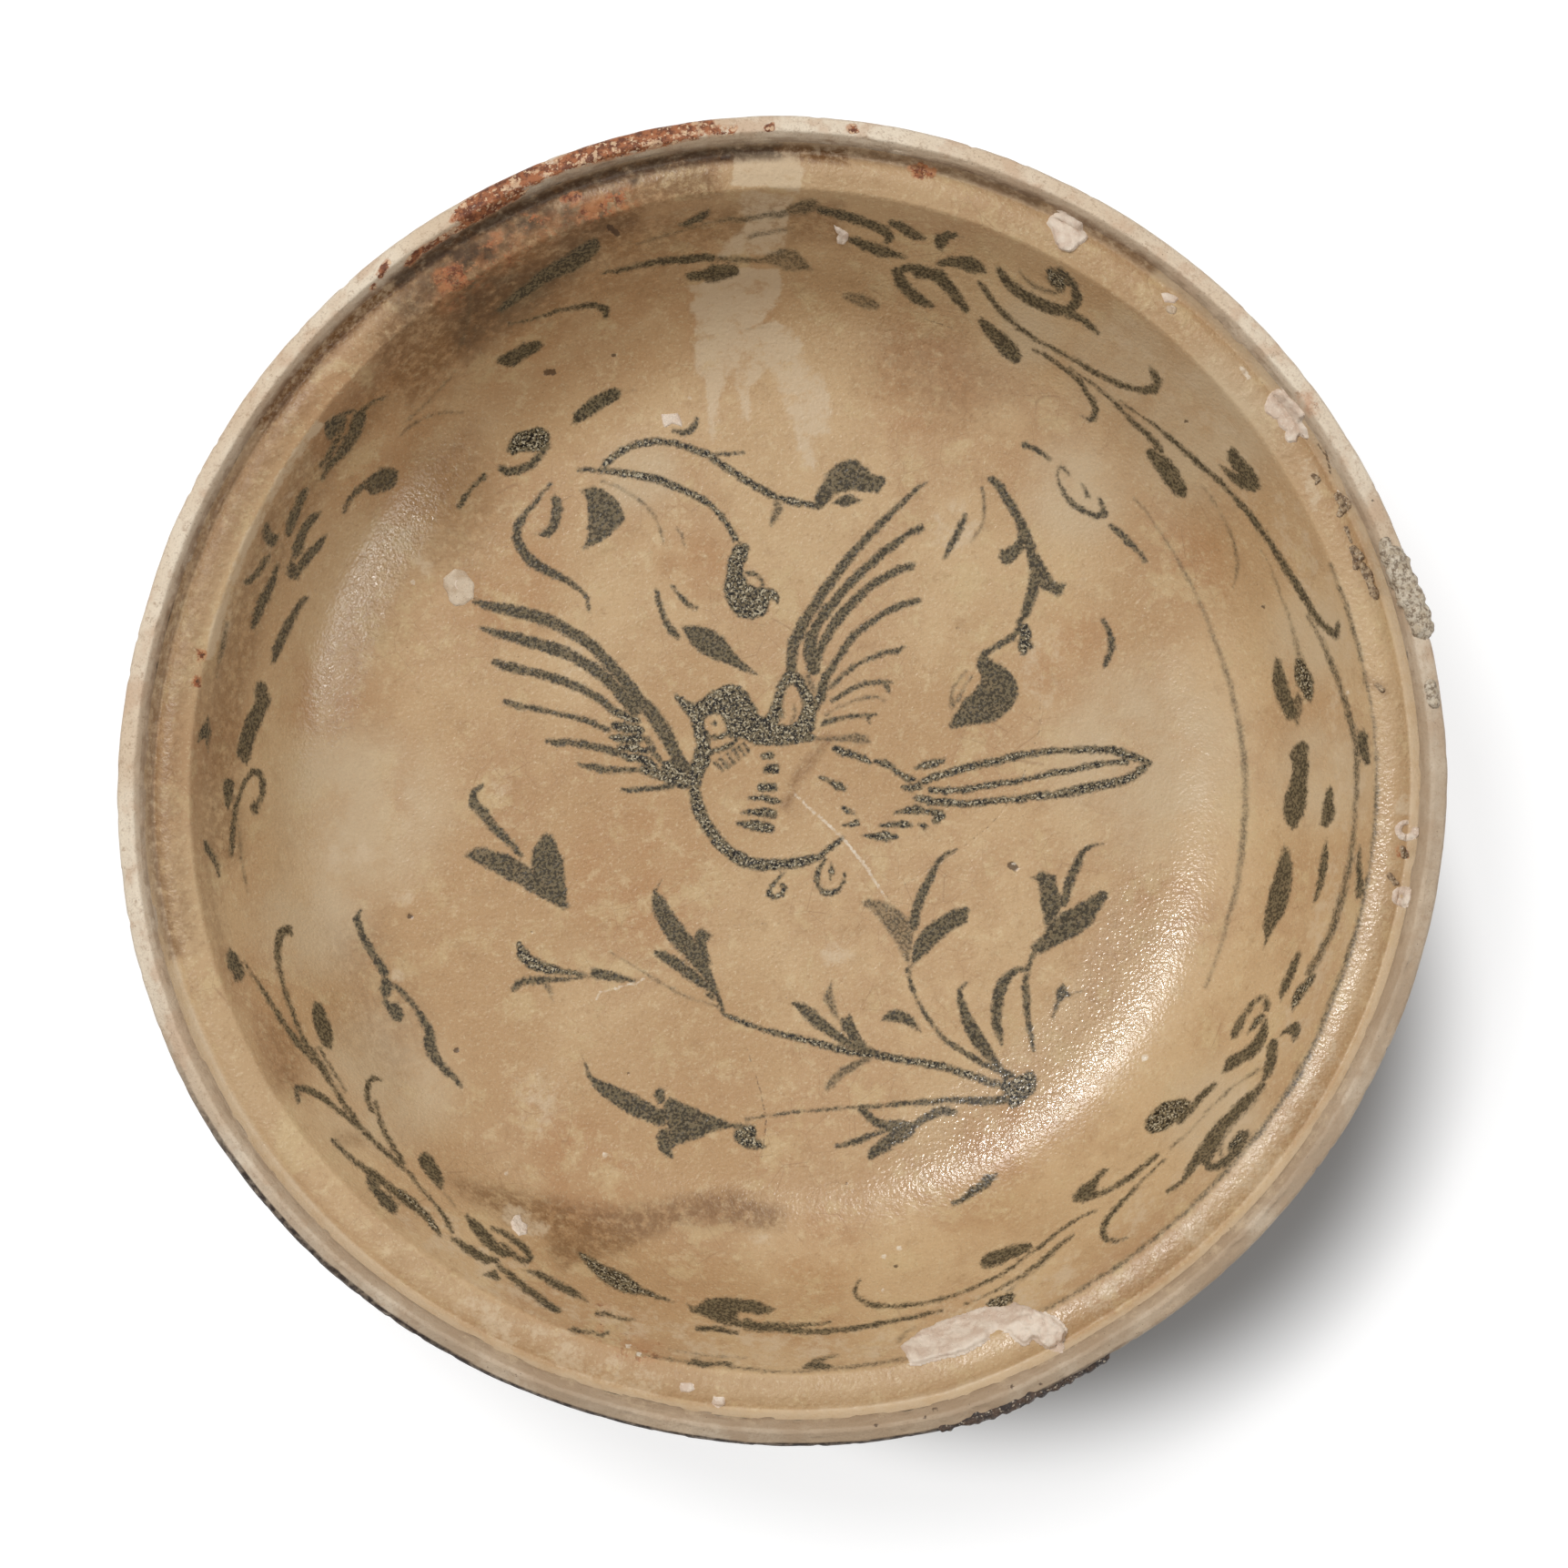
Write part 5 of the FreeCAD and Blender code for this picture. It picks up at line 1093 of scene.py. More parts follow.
def shell(name, top, bottom, cells, node, material):
    """A closed lump from two grids of points, over the cells of the grid that are wanted."""
    m, n = cells.shape
    index = np.arange((m + 1) * (n + 1)).reshape(m + 1, n + 1)
    size = index.size
    faces, edges = [], set()
    for i, j in np.argwhere(cells):
        ring = [index[i, j], index[i, j + 1], index[i + 1, j + 1], index[i + 1, j]]
        faces.append(ring)
        faces.append([size + k for k in reversed(ring)])
        edges.update(zip(ring, ring[1:] + ring[:1]))
    for a, b in sorted(edges):
        if (b, a) not in edges:
            faces.append([b, a, size + a, size + b])
    points = np.concatenate([top.reshape(-1, 3), bottom.reshape(-1, 3)])
    used, faces = kept_points(faces, 2 * size)
    return make_piece(name, points[used], faces, [node], material), points[used]


def coat_normal(p):
    """The outward direction of the glazed inside."""
    r = np.hypot(p[..., 0], p[..., 1])
    slope = (coat_z(r + 0.3) - coat_z(r - 0.3)) / 0.6
    n = np.stack([-slope * p[..., 0] / r, -slope * p[..., 1] / r, np.ones_like(r)], -1)
    return n / np.linalg.norm(n, axis=-1, keepdims=True)


def scab(name, outline, height, node, material, look, step=1.2, edge=3.0, ragged=2.0, seed=0, closed=True):
    """A crust on the glazed inside, from its outline in the photo."""
    box = np.array(outline, float).reshape(-1, 2 if closed else 3)[:, :2]
    lo, hi = box.min(0) - 7, box.max(0) + 7
    x, y = np.meshgrid(np.arange(lo[0], hi[0], step), np.arange(lo[1], hi[1], step), indexing="ij")
    base = from_photo(x, y)
    depth = depth_at(x, y, outline, closed)
    depth = depth + ragged * (0.6 * grain(base, 2.2, seed) + 0.4 * grain(base, 0.9, seed + 1))
    up = coat_normal(base)
    rise = look(base, depth, seed) * height
    lift = -0.35 + (rise + 0.35) * smooth(depth, -0.7, edge)
    top = base + up * lift[..., None]
    bottom = base - up * 0.6
    return shell(name, top, bottom, touched(depth > -1.6), node, material)


def chalky(p, depth, seed):
    """Flat flakes in low steps with a pitted face."""
    level = 0.5 + 0.5 * grain(p, 5.0, seed + 3)
    stepped = np.floor(level * 4) / 4 + 0.25 * smooth(level * 4 % 1, 0.75, 1)
    return 0.45 + 0.5 * stepped + 0.14 * grain(p, 1.1, seed + 4) + 0.06 * grain(p, 0.5, seed + 5)


def crumbly(p, depth, seed):
    """Loose grains heaped on each other."""
    fine = 0.25 * grain(p, 0.75, seed + 4) + 0.1 * grain(p, 0.4, seed + 5)
    return 0.55 + 0.3 * grain(p, 1.6, seed + 3) + fine


def half_crumbly(p, depth, seed):
    """Flakes that turn into grains at the right."""
    right = smooth(p[..., 0], 58, 66)
    return chalky(p, depth, seed) * (1 - right) + crumbly(p, depth, seed) * 1.15 * right


def domed(p, depth, seed):
    """Higher in the middle of its line."""
    fine = 0.15 * grain(p, 1.0, seed + 3) + 0.08 * grain(p, 0.45, seed + 4)
    return 0.35 + 0.65 * smooth(depth, 0, 9) + fine


LIP_LINE = spaced(rounded([(168.4, 76.9, 0)] + LIP + [(160.5, 65, 0)], 10.0), lambda r, z: 0.25)
LIP_RUN = np.concatenate([[0], np.cumsum(np.linalg.norm(np.diff(LIP_LINE, axis=0), axis=1))])


def lip_grid(angle, run):
    """Points and outward directions on the lip at an angle in degrees and a distance along its section."""
    r = np.interp(run, LIP_RUN, LIP_LINE[:, 0])
    z = np.interp(run, LIP_RUN, LIP_LINE[:, 1])
    dr = np.interp(run + 0.4, LIP_RUN, LIP_LINE[:, 0]) - np.interp(run - 0.4, LIP_RUN, LIP_LINE[:, 0])
    dz = np.interp(run + 0.4, LIP_RUN, LIP_LINE[:, 1]) - np.interp(run - 0.4, LIP_RUN, LIP_LINE[:, 1])
    size = np.hypot(dr, dz)
    c, s = np.cos(np.radians(angle)), np.sin(np.radians(angle))
    out = np.stack([-dz / size * c, -dz / size * s, dr / size], -1)
    return warped(np.stack([r * c, r * s, z], -1)), out


def lip_lump(name, blobs, height, node, material, seed, ragged=1.2, step=0.45, flat=0.5):
    """A lump on the lip from round-ended blobs: two angles, two places along the section, half width."""
    angles = [v for b in blobs for v in b[:2]]
    runs = [v for b in blobs for v in b[2:4]]
    wide = max(b[4] for b in blobs) + 3
    turn = math.degrees(wide / 172)
    a, s = np.meshgrid(
        np.arange(min(angles) - turn, max(angles) + turn, math.degrees(step / 172)),
        np.arange(max(0.1, min(runs) - wide), min(LIP_RUN[-1] - 0.1, max(runs) + wide), step), indexing="ij")
    base, out = lip_grid(a, s)
    depth = np.full(a.shape, -99.0)
    along = np.radians(a) * 172
    for a0, a1, s0, s1, half in blobs:
        x0, x1 = math.radians(a0) * 172, math.radians(a1) * 172
        dx, ds = x1 - x0, s1 - s0
        f = np.clip(((along - x0) * dx + (s - s0) * ds) / max(dx * dx + ds * ds, 1e-9), 0, 1)
        depth = np.maximum(depth, half - np.hypot(along - x0 - f * dx, s - s0 - f * ds))
    depth = depth + ragged * (0.6 * grain(base, 3.0, seed) + 0.4 * grain(base, 1.2, seed + 1))
    body = flat + (1 - flat) * smooth(depth, 0, 3.0)
    body = body + 0.22 * grain(base, 1.8, seed + 2) + 0.14 * grain(base, 0.8, seed + 3)
    lift = -0.4 + (height * body + 0.4) * smooth(depth, -0.4, 1.0)
    top = base + out * lift[..., None]
    bottom = base - out * 0.7
    return shell(name, top, bottom, touched(depth > -0.8), node, material)


# Materials

# The lamps light a level white surface to full white. The bowl's gloss and the light between its walls
# come on top, so the photo's colours are brought down a little to what the surface itself reflects.
REFLECTS = 0.82


def rgb(r, g, b):
    """A colour as the photo shows it, as a surface colour."""
    out = []
    for c in (r / 255, g / 255, b / 255):
        out.append(REFLECTS * (c / 12.92 if c <= 0.04045 else ((c + 0.055) / 1.055) ** 2.4))
    return tuple(out) + (1,)


class Net:
    """A small helper that wires up one material. Sizes are in millimetres."""

    def __init__(self, name):
        self.mat = bpy.data.materials.new(name)
        self.mat.use_nodes = True
        self.tree = self.mat.node_tree
        self.tree.nodes.clear()
        self.place = self.add("ShaderNodeTexCoord").outputs["Object"]

    def add(self, kind, values=(), **settings):
        node = self.tree.nodes.new(kind)
        for key, value in settings.items():
            setattr(node, key, value)
        for key, value in dict(values).items():
            if isinstance(value, bpy.types.NodeSocket):
                self.tree.links.new(value, node.inputs[key])
            else:
                node.inputs[key].default_value = value
        return node

    def math(self, how, a, b=0.5, c=None):
        values = {0: a, 1: b}
        if c is not None:
            values[2] = c
        return self.add("ShaderNodeMath", values, operation=how).outputs[0]

    def mix(self, how_much, a, b, how="MIX"):
        node = self.add("ShaderNodeMix", {0: how_much, 6: a, 7: b}, data_type="RGBA", blend_type=how)
        return node.outputs[2]

    def span(self, value, lo, hi, to_lo=0.0, to_hi=1.0):
        node = self.add("ShaderNodeMapRange", {0: value, 1: lo, 2: hi, 3: to_lo, 4: to_hi},
                        interpolation_type="SMOOTHSTEP")
        return node.outputs[0]

    def noise(self, size, lo=0.35, hi=0.65, detail=2.0, rough=0.5, to_lo=0.0, to_hi=1.0):
        node = self.add("ShaderNodeTexNoise", {"Vector": self.place, "Scale": 1000 / size, "Detail": detail,
                                               "Roughness": rough})
        return self.span(node.outputs["Fac"], lo, hi, to_lo, to_hi)

    def cells(self, size, feature="F1", out="Distance"):
        node = self.add("ShaderNodeTexVoronoi", {"Vector": self.place, "Scale": 1000 / size},
                feature=feature)
        return node.outputs[out]

    def attr(self, name):
        return self.add("ShaderNodeAttribute", attribute_name=name).outputs["Fac"]

    def times(self, a, b):
        return self.math("MULTIPLY", a, b)

    def plus(self, a, b):
        return self.math("ADD", a, b)

    def mottled(self, color, *layers):
        """Lays patches over a colour: size, lo, hi, detail, roughness, share and colour of each."""
        for size, lo, hi, detail, rough, share, tint in layers:
            color = self.mix(self.noise(size, lo, hi, detail, rough, 0, share), color, rgb(*tint))
        return color

    def tinted(self, color, name, tint, *noise):
        """Tints a colour where the points' own value says, broken up by noise."""
        return self.mix(self.times(self.attr(name), self.noise(*noise)), color, rgb(*tint))

    def dots(self, color, size, lo, hi, patches, tint):
        """A colour with small round marks in patches, and the marks for the relief."""
        marks = self.times(self.span(self.cells(size), lo, hi, 1.0, 0.0), self.noise(*patches))
        return self.mix(marks, color, rgb(*tint)), marks

    def total(self, *values):
        """The sum of the values."""
        out = values[0]
        for value in values[1:]:
            out = self.plus(out, value)
        return out

    def done(self, color, rough, height, depth=0.1, strength=1.0, **more):
        bump = self.add("ShaderNodeBump", {"Height": height, "Distance": depth / 1000, "Strength": strength})
        values = {"Base Color": color, "Roughness": rough, "Normal": bump.outputs[0]}
        values.update({key.replace("_", " "): value for key, value in more.items()})
        shader = self.add("ShaderNodeBsdfPrincipled", values)
        out = self.add("ShaderNodeOutputMaterial")
        self.tree.links.new(shader.outputs[0], out.inputs[0])
        return self.mat


def add_stains_and_painted_light(net, color, flake_color=(232, 196, 158), flake_share=1.0):
    """Rust, brown dirt and painted shade, pale wear and painted light, grey soot and painted shade, from the
    points' own values.
    """
    # The brown and grey tints also carry painted shade, and the pale tint painted light, where the arcs of
    # the stain list put them.
    color = net.tinted(color, "brown", (122, 85, 50), 2.6, 0.32, 0.6, 4, 0.7, 0.25, 1.0)
    pale = net.plus(net.attr("pale"), net.noise(7, 0.34, 0.66, 5, 0.75, -0.5, 0.2))
    pale = net.span(pale, 0.1, 0.75, 0.0, 0.8)
    color = net.mix(pale, color, rgb(214, 190, 157))
    color = net.tinted(color, "grey", (66, 48, 33), 3.4, 0.3, 0.56, 4, 0.7, 0.3, 1.0)
    halo = net.times(net.span(net.attr("rust"), 0.02, 0.32, 0.0, 0.65), net.noise(4, 0.4, 0.6, 3, 0.6))
    color = net.mix(halo, color, rgb(190, 122, 74))
    rust = net.span(net.plus(net.attr("rust"), net.noise(3.2, 0.3, 0.7, 4, 0.75, -0.75, 0.35)), 0.12, 0.4)
    rust = net.times(rust, net.span(net.attr("rust"), 0.03, 0.2))
    deep = net.mix(net.noise(2.6, 0.4, 0.6, 3, 0.7), rgb(174, 108, 68), rgb(112, 62, 38))
    color = net.mix(rust, color, deep)
    chips = net.plus(net.noise(1.6, 0.56, 0.62, 3, 0.6, 0, 0.8), net.noise(5, 0.55, 0.62, 4, 0.7, 0, 0.7))
    return net.mix(net.times(net.times(rust, flake_share), chips), color, rgb(*flake_color))


def sharp_marks(net, color):
    """Small dark pits and pale chips."""
    fuzz = net.noise(0.9, 0.3, 0.7, 2, 0.5, -0.8, 0.8)
    pits = net.span(net.plus(net.attr("dark"), fuzz), -0.6, 0.9)
    color = net.mix(net.times(pits, 0.75), color, rgb(66, 46, 32))
    chips = net.span(net.plus(net.attr("light"), fuzz), -0.7, 0.9)
    chips = net.times(chips, net.noise(2.5, 0.3, 0.65, 2, 0.5, 0.15, 0.75))
    return net.mix(chips, color, rgb(240, 228, 208))


def glaze_inside():
    """Buff glaze with the painting, stains and wear."""
    net = Net("painted_glaze")
    color = net.mottled(
        rgb(192, 156, 114),
        (70, 0.4, 0.6, 2, 0.5, 1, (207, 175, 133)),
        (30, 0.46, 0.6, 4, 0.65, 0.5, (184, 144, 105)))
    color = net.mix(net.times(net.attr("sand"), 0.45), color, rgb(178, 144, 106))
    # Pinker, darker patches; the large ones at the upper left are painted shade.
    color = net.tinted(color, "warm", (184, 140, 97), 12, 0.35, 0.6, 3, 0.6, 0.2, 0.7)
    color = net.mottled(
        color,
        (15, 0.52, 0.66, 5, 0.7, 0.6, (212, 186, 141)),
        (4.5, 0.54, 0.7, 4, 0.7, 0.45, (222, 198, 156)),
        (6, 0.52, 0.7, 5, 0.75, 0.4, (168, 131, 90)),
        (1.3, 0.54, 0.74, 3, 0.7, 0.35, (158, 121, 80)),
        (0.9, 0.56, 0.72, 2, 0.6, 0.35, (230, 210, 172)))
    crack = net.span(net.cells(9, "DISTANCE_TO_EDGE"), 0.0, 0.012, 1.0, 0.0)
    crack = net.times(crack, net.noise(30, 0.45, 0.62, 2, 0.5, 0, 0.35))
    color = net.mix(crack, color, rgb(140, 104, 74))
    color = net.tinted(color, "milky", (208, 184, 149), 16, 0.3, 0.6, 5, 0.7, 0.25, 0.8)
    color = net.tinted(color, "thin", (214, 190, 158), 5, 0.3, 0.6, 3, 0.6, 0.5, 0.9)
    color = add_stains_and_painted_light(net, color, (190, 146, 102), 0.5)
    fuzz = net.plus(net.noise(1.0, 0.3, 0.7, 3, 0.6, -0.9, 0.9), net.noise(3, 0.3, 0.7, 2, 0.5, -0.7, 0.7))
    inside = net.span(net.plus(net.attr("ink"), fuzz), -3.4, 4.2)
    strength = net.times(net.times(inside, net.attr("tone")), net.noise(5, 0.3, 0.62, 3, 0.6, 0.84, 1.1))
    color = net.mix(net.span(strength, 0.0, 0.95), color, rgb(118, 104, 77))
    heavy = net.times(net.span(net.attr("tone"), 0.9, 0.98), net.span(strength, 0.65, 0.95))
    grains = net.times(net.noise(0.8, 0.44, 0.56, 2, 0.65), net.span(strength, 0.15, 0.75, 0.0, 0.74))
    grains = net.plus(grains, net.times(heavy, net.noise(0.8, 0.44, 0.56, 2, 0.65, 0, 0.36)))
    color = net.mix(grains, color, rgb(30, 24, 17))
    glint = net.times(net.noise(0.7, 0.54, 0.61, 2, 0.6, 0, 0.8), heavy)
    color = net.mix(glint, color, rgb(206, 192, 162))
    color, speck = net.dots(color, 1.8, 0.04, 0.13, (5, 0.58, 0.72, 2, 0.5, 0, 0.7), (112, 80, 54))
    color = sharp_marks(net, color)
    sand = net.attr("sand")
    crusty = net.math("MAXIMUM", net.attr("grey"), net.attr("rust"))
    rough = net.total(
        net.noise(3, 0.35, 0.65, 3, 0.6, 0.22, 0.34), net.times(net.attr("pale"), 0.2),
        net.times(net.attr("shiny"), -0.12), net.times(sand, 0.2), net.times(net.attr("worn"), 0.35),
        net.times(crusty, 0.35))
    fine = net.plus(net.noise(0.95, 0.25, 0.75, 1, 0.5), net.noise(2.6, 0.25, 0.75, 2, 0.5, 0, 0.5))
    coarse = net.plus(net.noise(1.5, 0.3, 0.7, 3, 0.6, 0, 1.9), net.noise(4, 0.3, 0.7, 2, 0.5, 0, 0.8))
    coarse = net.times(sand, coarse)
    fine = net.times(fine, net.span(net.attr("shiny"), 0.0, 1.0, 1.0, 2.2))
    relief = net.math("SUBTRACT", net.plus(fine, coarse), net.times(speck, 0.8))
    gloss = net.span(net.attr("shiny"), 0.0, 1.0, 0.36, 0.9)
    return net.done(color, rough, relief, 0.1, 0.62, Specular_IOR_Level=gloss)


def clay():
    """The bare fired clay of lip, foot and base."""
    net = Net("fired_clay_surface")
    color = net.mottled(
        rgb(230, 207, 178),
        (40, 0.4, 0.6, 2, 0.5, 1, (244, 228, 204)),
        (9, 0.48, 0.66, 3, 0.6, 0.6, (214, 178, 146)),
        (2.4, 0.5, 0.72, 4, 0.7, 0.5, (176, 142, 112)),
        (0.6, 0.5, 0.8, 2, 0.6, 0.4, (140, 108, 84)))
    color = net.mix(net.times(net.attr("bead"), 0.5), color, rgb(196, 172, 144))
    color = net.tinted(color, "groove", (138, 112, 86), 6, 0.35, 0.65, 3, 0.6, 0.1, 0.6)
    # Painted shade on the lip, darkest on the side away from the window lamp.
    color = net.tinted(color, "lip_shade_side", (174, 149, 121), 18, 0.3, 0.6, 4, 0.6, 0.55, 0.95)
    # Dark kiln burn under the lip; on the lip's outer edge at the front this tint is painted shade.
    color = net.tinted(color, "burnt", (48, 34, 26), 2, 0.3, 0.6, 3, 0.6, 0.6, 1.0)
    color = add_stains_and_painted_light(net, color)
    color, pore = net.dots(color, 1.2, 0.05, 0.17, (3, 0.52, 0.66, 2, 0.5, 0, 0.8), (84, 60, 42))
    color = sharp_marks(net, color)
    relief = net.plus(net.noise(0.9, 0.25, 0.75, 4, 0.65), net.noise(3.4, 0.25, 0.75, 2))
    relief = net.math("SUBTRACT", relief, pore)
    rough = net.noise(2, 0.3, 0.7, 3, 0.6, 0.5, 0.72)
    return net.done(color, rough, relief, 0.16, 0.6, Specular_IOR_Level=0.4)


def glaze_outside():
    """The plainer glaze outside, burnt under the lip."""
    net = Net("outer_glaze_surface")
    color = net.mottled(
        rgb(196, 162, 124),
        (60, 0.4, 0.6, 2, 0.5, 1, (210, 180, 142)),
        (16, 0.5, 0.68, 3, 0.6, 0.6, (178, 140, 108)),
        (2.4, 0.5, 0.75, 4, 0.7, 0.5, (160, 124, 90)))
    crack = net.span(net.cells(8, "DISTANCE_TO_EDGE"), 0.0, 0.014, 0.35, 0.0)
    color = net.mix(crack, color, rgb(132, 98, 70))
    color = net.mix(net.times(net.attr("burnt"), 0.85), color, rgb(58, 42, 32))
    color = net.mix(net.attr("pool"), color, rgb(150, 122, 84))
    color, speck = net.dots(color, 1.5, 0.05, 0.16, (4, 0.54, 0.68, 2, 0.5, 0, 0.7), (98, 72, 50))
    relief = net.plus(net.noise(1.2, 0.25, 0.75, 3, 0.6, 0, 0.7), net.noise(4, 0.25, 0.75, 2, 0.5, 0, 1.0))
    relief = net.math("SUBTRACT", relief, net.times(speck, 0.8))
    rough = net.noise(3, 0.35, 0.65, 3, 0.6, 0.32, 0.5)
    return net.done(color, rough, relief, 0.16, 0.55, Specular_IOR_Level=0.5)


def lime(name, base, shade, glow):
    """Chalky sea lime."""
    net = Net(name)
    color = net.mix(net.noise(4, 0.4, 0.62, 3, 0.6), base, shade)
    color = net.mix(net.noise(1.0, 0.52, 0.7, 4, 0.7, 0, 0.6), color, glow)
    color, pore = net.dots(color, 0.9, 0.04, 0.2, (2.2, 0.5, 0.62, 2, 0.5, 0, 0.7), (128, 104, 86))
    relief = net.plus(net.noise(0.6, 0.25, 0.75, 4, 0.7), net.noise(1.6, 0.25, 0.75, 2, 0.5, 0, 0.8))
    relief = net.math("SUBTRACT", relief, pore)
    rough = net.noise(1.5, 0.3, 0.7, 2, 0.5, 0.62, 0.85)
    return net.done(color, rough, relief, 0.14, 0.7, Specular_IOR_Level=0.35)


def crust(name, base, shade, hollow):
    """Granular sea crust."""
    net = Net(name)
    color = net.mix(net.noise(2.6, 0.38, 0.62, 4, 0.7), base, shade)
    grainy = net.span(net.cells(0.9), 0.1, 0.5)
    color = net.mix(net.times(grainy, net.noise(1.4, 0.42, 0.6, 3, 0.6, 0, 0.85)), color, hollow)
    color = net.mix(net.noise(0.5, 0.58, 0.72, 2, 0.5, 0, 0.7), color, rgb(224, 212, 192))
    relief = net.math("SUBTRACT", net.noise(1.0, 0.25, 0.75, 4, 0.7), net.times(grainy, 0.8))
    rough = net.noise(1.2, 0.3, 0.7, 2, 0.5, 0.6, 0.85)
    return net.done(color, rough, relief, 0.25, 0.8, Specular_IOR_Level=0.4)


def kiln_slag():
    """Dark, half glassy slag with a few pale grains."""
    net = Net("kiln_slag_surface")
    color = net.mix(net.noise(2.5, 0.4, 0.62, 4, 0.7), rgb(44, 32, 26), rgb(84, 62, 46))
    color = net.mix(net.noise(0.7, 0.6, 0.7, 2, 0.5, 0, 0.8), color, rgb(206, 190, 166))
    relief = net.noise(1.0, 0.25, 0.75, 4, 0.7)
    rough = net.noise(1.4, 0.35, 0.65, 2, 0.5, 0.22, 0.6)
    return net.done(color, rough, relief, 0.25, 0.8, Specular_IOR_Level=0.5)


# The bowl

def body_relief(p, rings, angle):
    """Throwing marks, nicks and a worn foot on the clay."""
    flat = p.copy()
    r = rings[:, 0][:, None] + 0 * angle
    z = rings[:, 1][:, None] + 0 * angle
    lip = smooth(r, 166.5, 168.5) * smooth(z, 70, 73)
    amount = lip * (0.10 * grain(flat, 14, 21) + 0.07 * grain(flat, 4, 22) + 0.05 * grain(flat, 1.8, 23))
    nick = smooth(grain(flat, 2.6, 24), 0.52, 0.8) * lip
    amount -= 0.35 * nick
    foot = smooth(-z, -12.5, -10.5)
    amount += foot * (0.10 * grain(flat, 9, 25) + 0.06 * grain(flat, 2.5, 26))
    wheel = grain(np.stack([r, r * 0, z], -1), 2.6, 27)
    amount += 0.06 * foot * wheel
    amount -= 0.9 * foot * smooth(grain(flat, 5.0, 28), 0.55, 0.85) * smooth(-z, -3, 0)
    p = pushed(p, rings, amount)
    p[..., 2] = np.maximum(p[..., 2], 0.0)
    return warped(p)


def coat_relief(p, rings, angle):
    """Throwing marks under the outer glaze, its thick roll and its wavy edge."""
    flat = p.copy()
    z = rings[:, 1][:, None] + 0 * angle
    outer = (np.arange(len(rings)) < len(OUTER_LINE))[:, None]
    amount = 0.07 * grain(flat, 26, 31) + 0.06 * grain(flat, 9, 32) + 0.04 * grain(flat, 3.5, 33)
    wheel = grain(np.stack([z, z * 0, z * 0], -1), 4.5, 34)
    amount += 0.06 * wheel * smooth(z, 16, 24)
    amount += 0.28 * (1 + grain(flat * [1, 1, 0.2], 12, 35)) * smooth(-z, -15, -11.5) * smooth(z, 10.2, 11)
    p = pushed(p, rings, amount * outer)
    sway = 0.8 * grain(flat * [1, 1, 0], 22, 36) * smooth(z, 73.6, 74.8)
    p[..., 2] += sway
    return warped(p)


def visible_gap(r, z):
    """The longest step along the clay's section, short where the clay is bare."""
    if z > 70 and r > 167:
        return 0.45
    if z < 13 and r > 99:
        return 1.0
    return 7.0


def make_body(material):
    """The clay, finely turned where it is bare, with its bead, groove, stains, painted shade on the lip and
    a burnt edge, whose dark band at the front is painted shade.
    """
    line = spaced(rounded(CLAY_TOP + LIP + OUTSIDE + FOOT, 12.0), visible_gap)
    piece, points = lathe("thrown_body", line, BODY_TURNS, body_relief, ["clay_body"],
            material)
    turned, facing = polar(points)
    on_lip = smooth(turned, 163, 166) * smooth(points[:, 2], 70, 73)
    paint(piece, points, on_lip)
    r, z = (np.concatenate([np.repeat(line[1:-1, k], BODY_TURNS), [0, 0]]) for k in (0, 1))
    attribute(piece, "bead", on_lip * smooth(z, 75, 76) * (1 - smooth(r, 169.6, 170.4)))
    attribute(piece, "groove", on_lip * smooth(z, 76, 76.4) * (1 - smooth(np.abs(r - 168.6), 0.25, 0.7)))
    # Painted shade: the lip is darker on the side away from the window lamp, with a light even tint all
    # round.
    attribute(piece, "lip_shade_side", on_lip * (0.15 + 0.8 * smooth(np.cos(np.radians(facing + 65)), -0.35, 0.75)))
    # Painted shade: the lip's outer edge at the front, which faces away from the window lamp, is darkened,
    # and the dark under the lip is made stronger there.
    shaded_front = band(facing, -152, -62, 10)
    edge = 173.95 - 0.75 * band(facing, -158, -122, 9) + 0.25 * grain(points * [1, 1, 0], 7, 61)
    under = smooth(-z, -76.4, -74.6) * smooth(r, 165, 170) * (0.55 + 0.45 * shaded_front)
    attribute(piece, "burnt", np.maximum(under, shaded_front * smooth(r - edge, -0.15, 0.25) * (z < 79)))


OUTER_LINE = spaced(rounded(OUTER_COAT, 8.0), lambda r, z: 0.5 if z > 72 or z < 12 else 2.2)
COAT_BACK = [(113.7, 11.0, 0), (132.8, 14.9, 30), (160.2, 65.3, 9), (173.9, 71.6, 1), (174.4, 74.8, 0)]


def make_outer_coat(material):
    """The glaze outside, a closed skin that is burnt under the lip and pools above the foot."""
    back = spaced(rounded(COAT_BACK, 14.0), lambda r, z: 9.0)
    line = np.concatenate([OUTER_LINE, back[1:]])
    piece, _ = lathe("outer_glaze_coat", line, OUTER_TURNS, coat_relief, ["outer_glaze"],
            material,
                     closed=True)
    z = np.repeat(line[:, 1], OUTER_TURNS)
    attribute(piece, "burnt", smooth(z, 71.5, 75) * 0.9)
    attribute(piece, "pool", 0.5 * smooth(-z, -13, -11.5))


make_body(clay())
make_outer_coat(glaze_outside())
make_inner_coat(glaze_inside())

white_lime = lime("white_lime", rgb(240, 222, 202), rgb(222, 197, 175), rgb(250, 240, 224))
tan_lime = lime("tan_lime", rgb(220, 200, 174), rgb(196, 170, 140), rgb(234, 220, 198))
sea = crust("sea_crust_surface", rgb(222, 208, 186), rgb(196, 178, 152), rgb(126, 106, 84))
brown_sea = crust("gutter_crust_surface", rgb(200, 174, 140), rgb(168, 140, 108), rgb(104, 80, 58))
slag = kiln_slag()

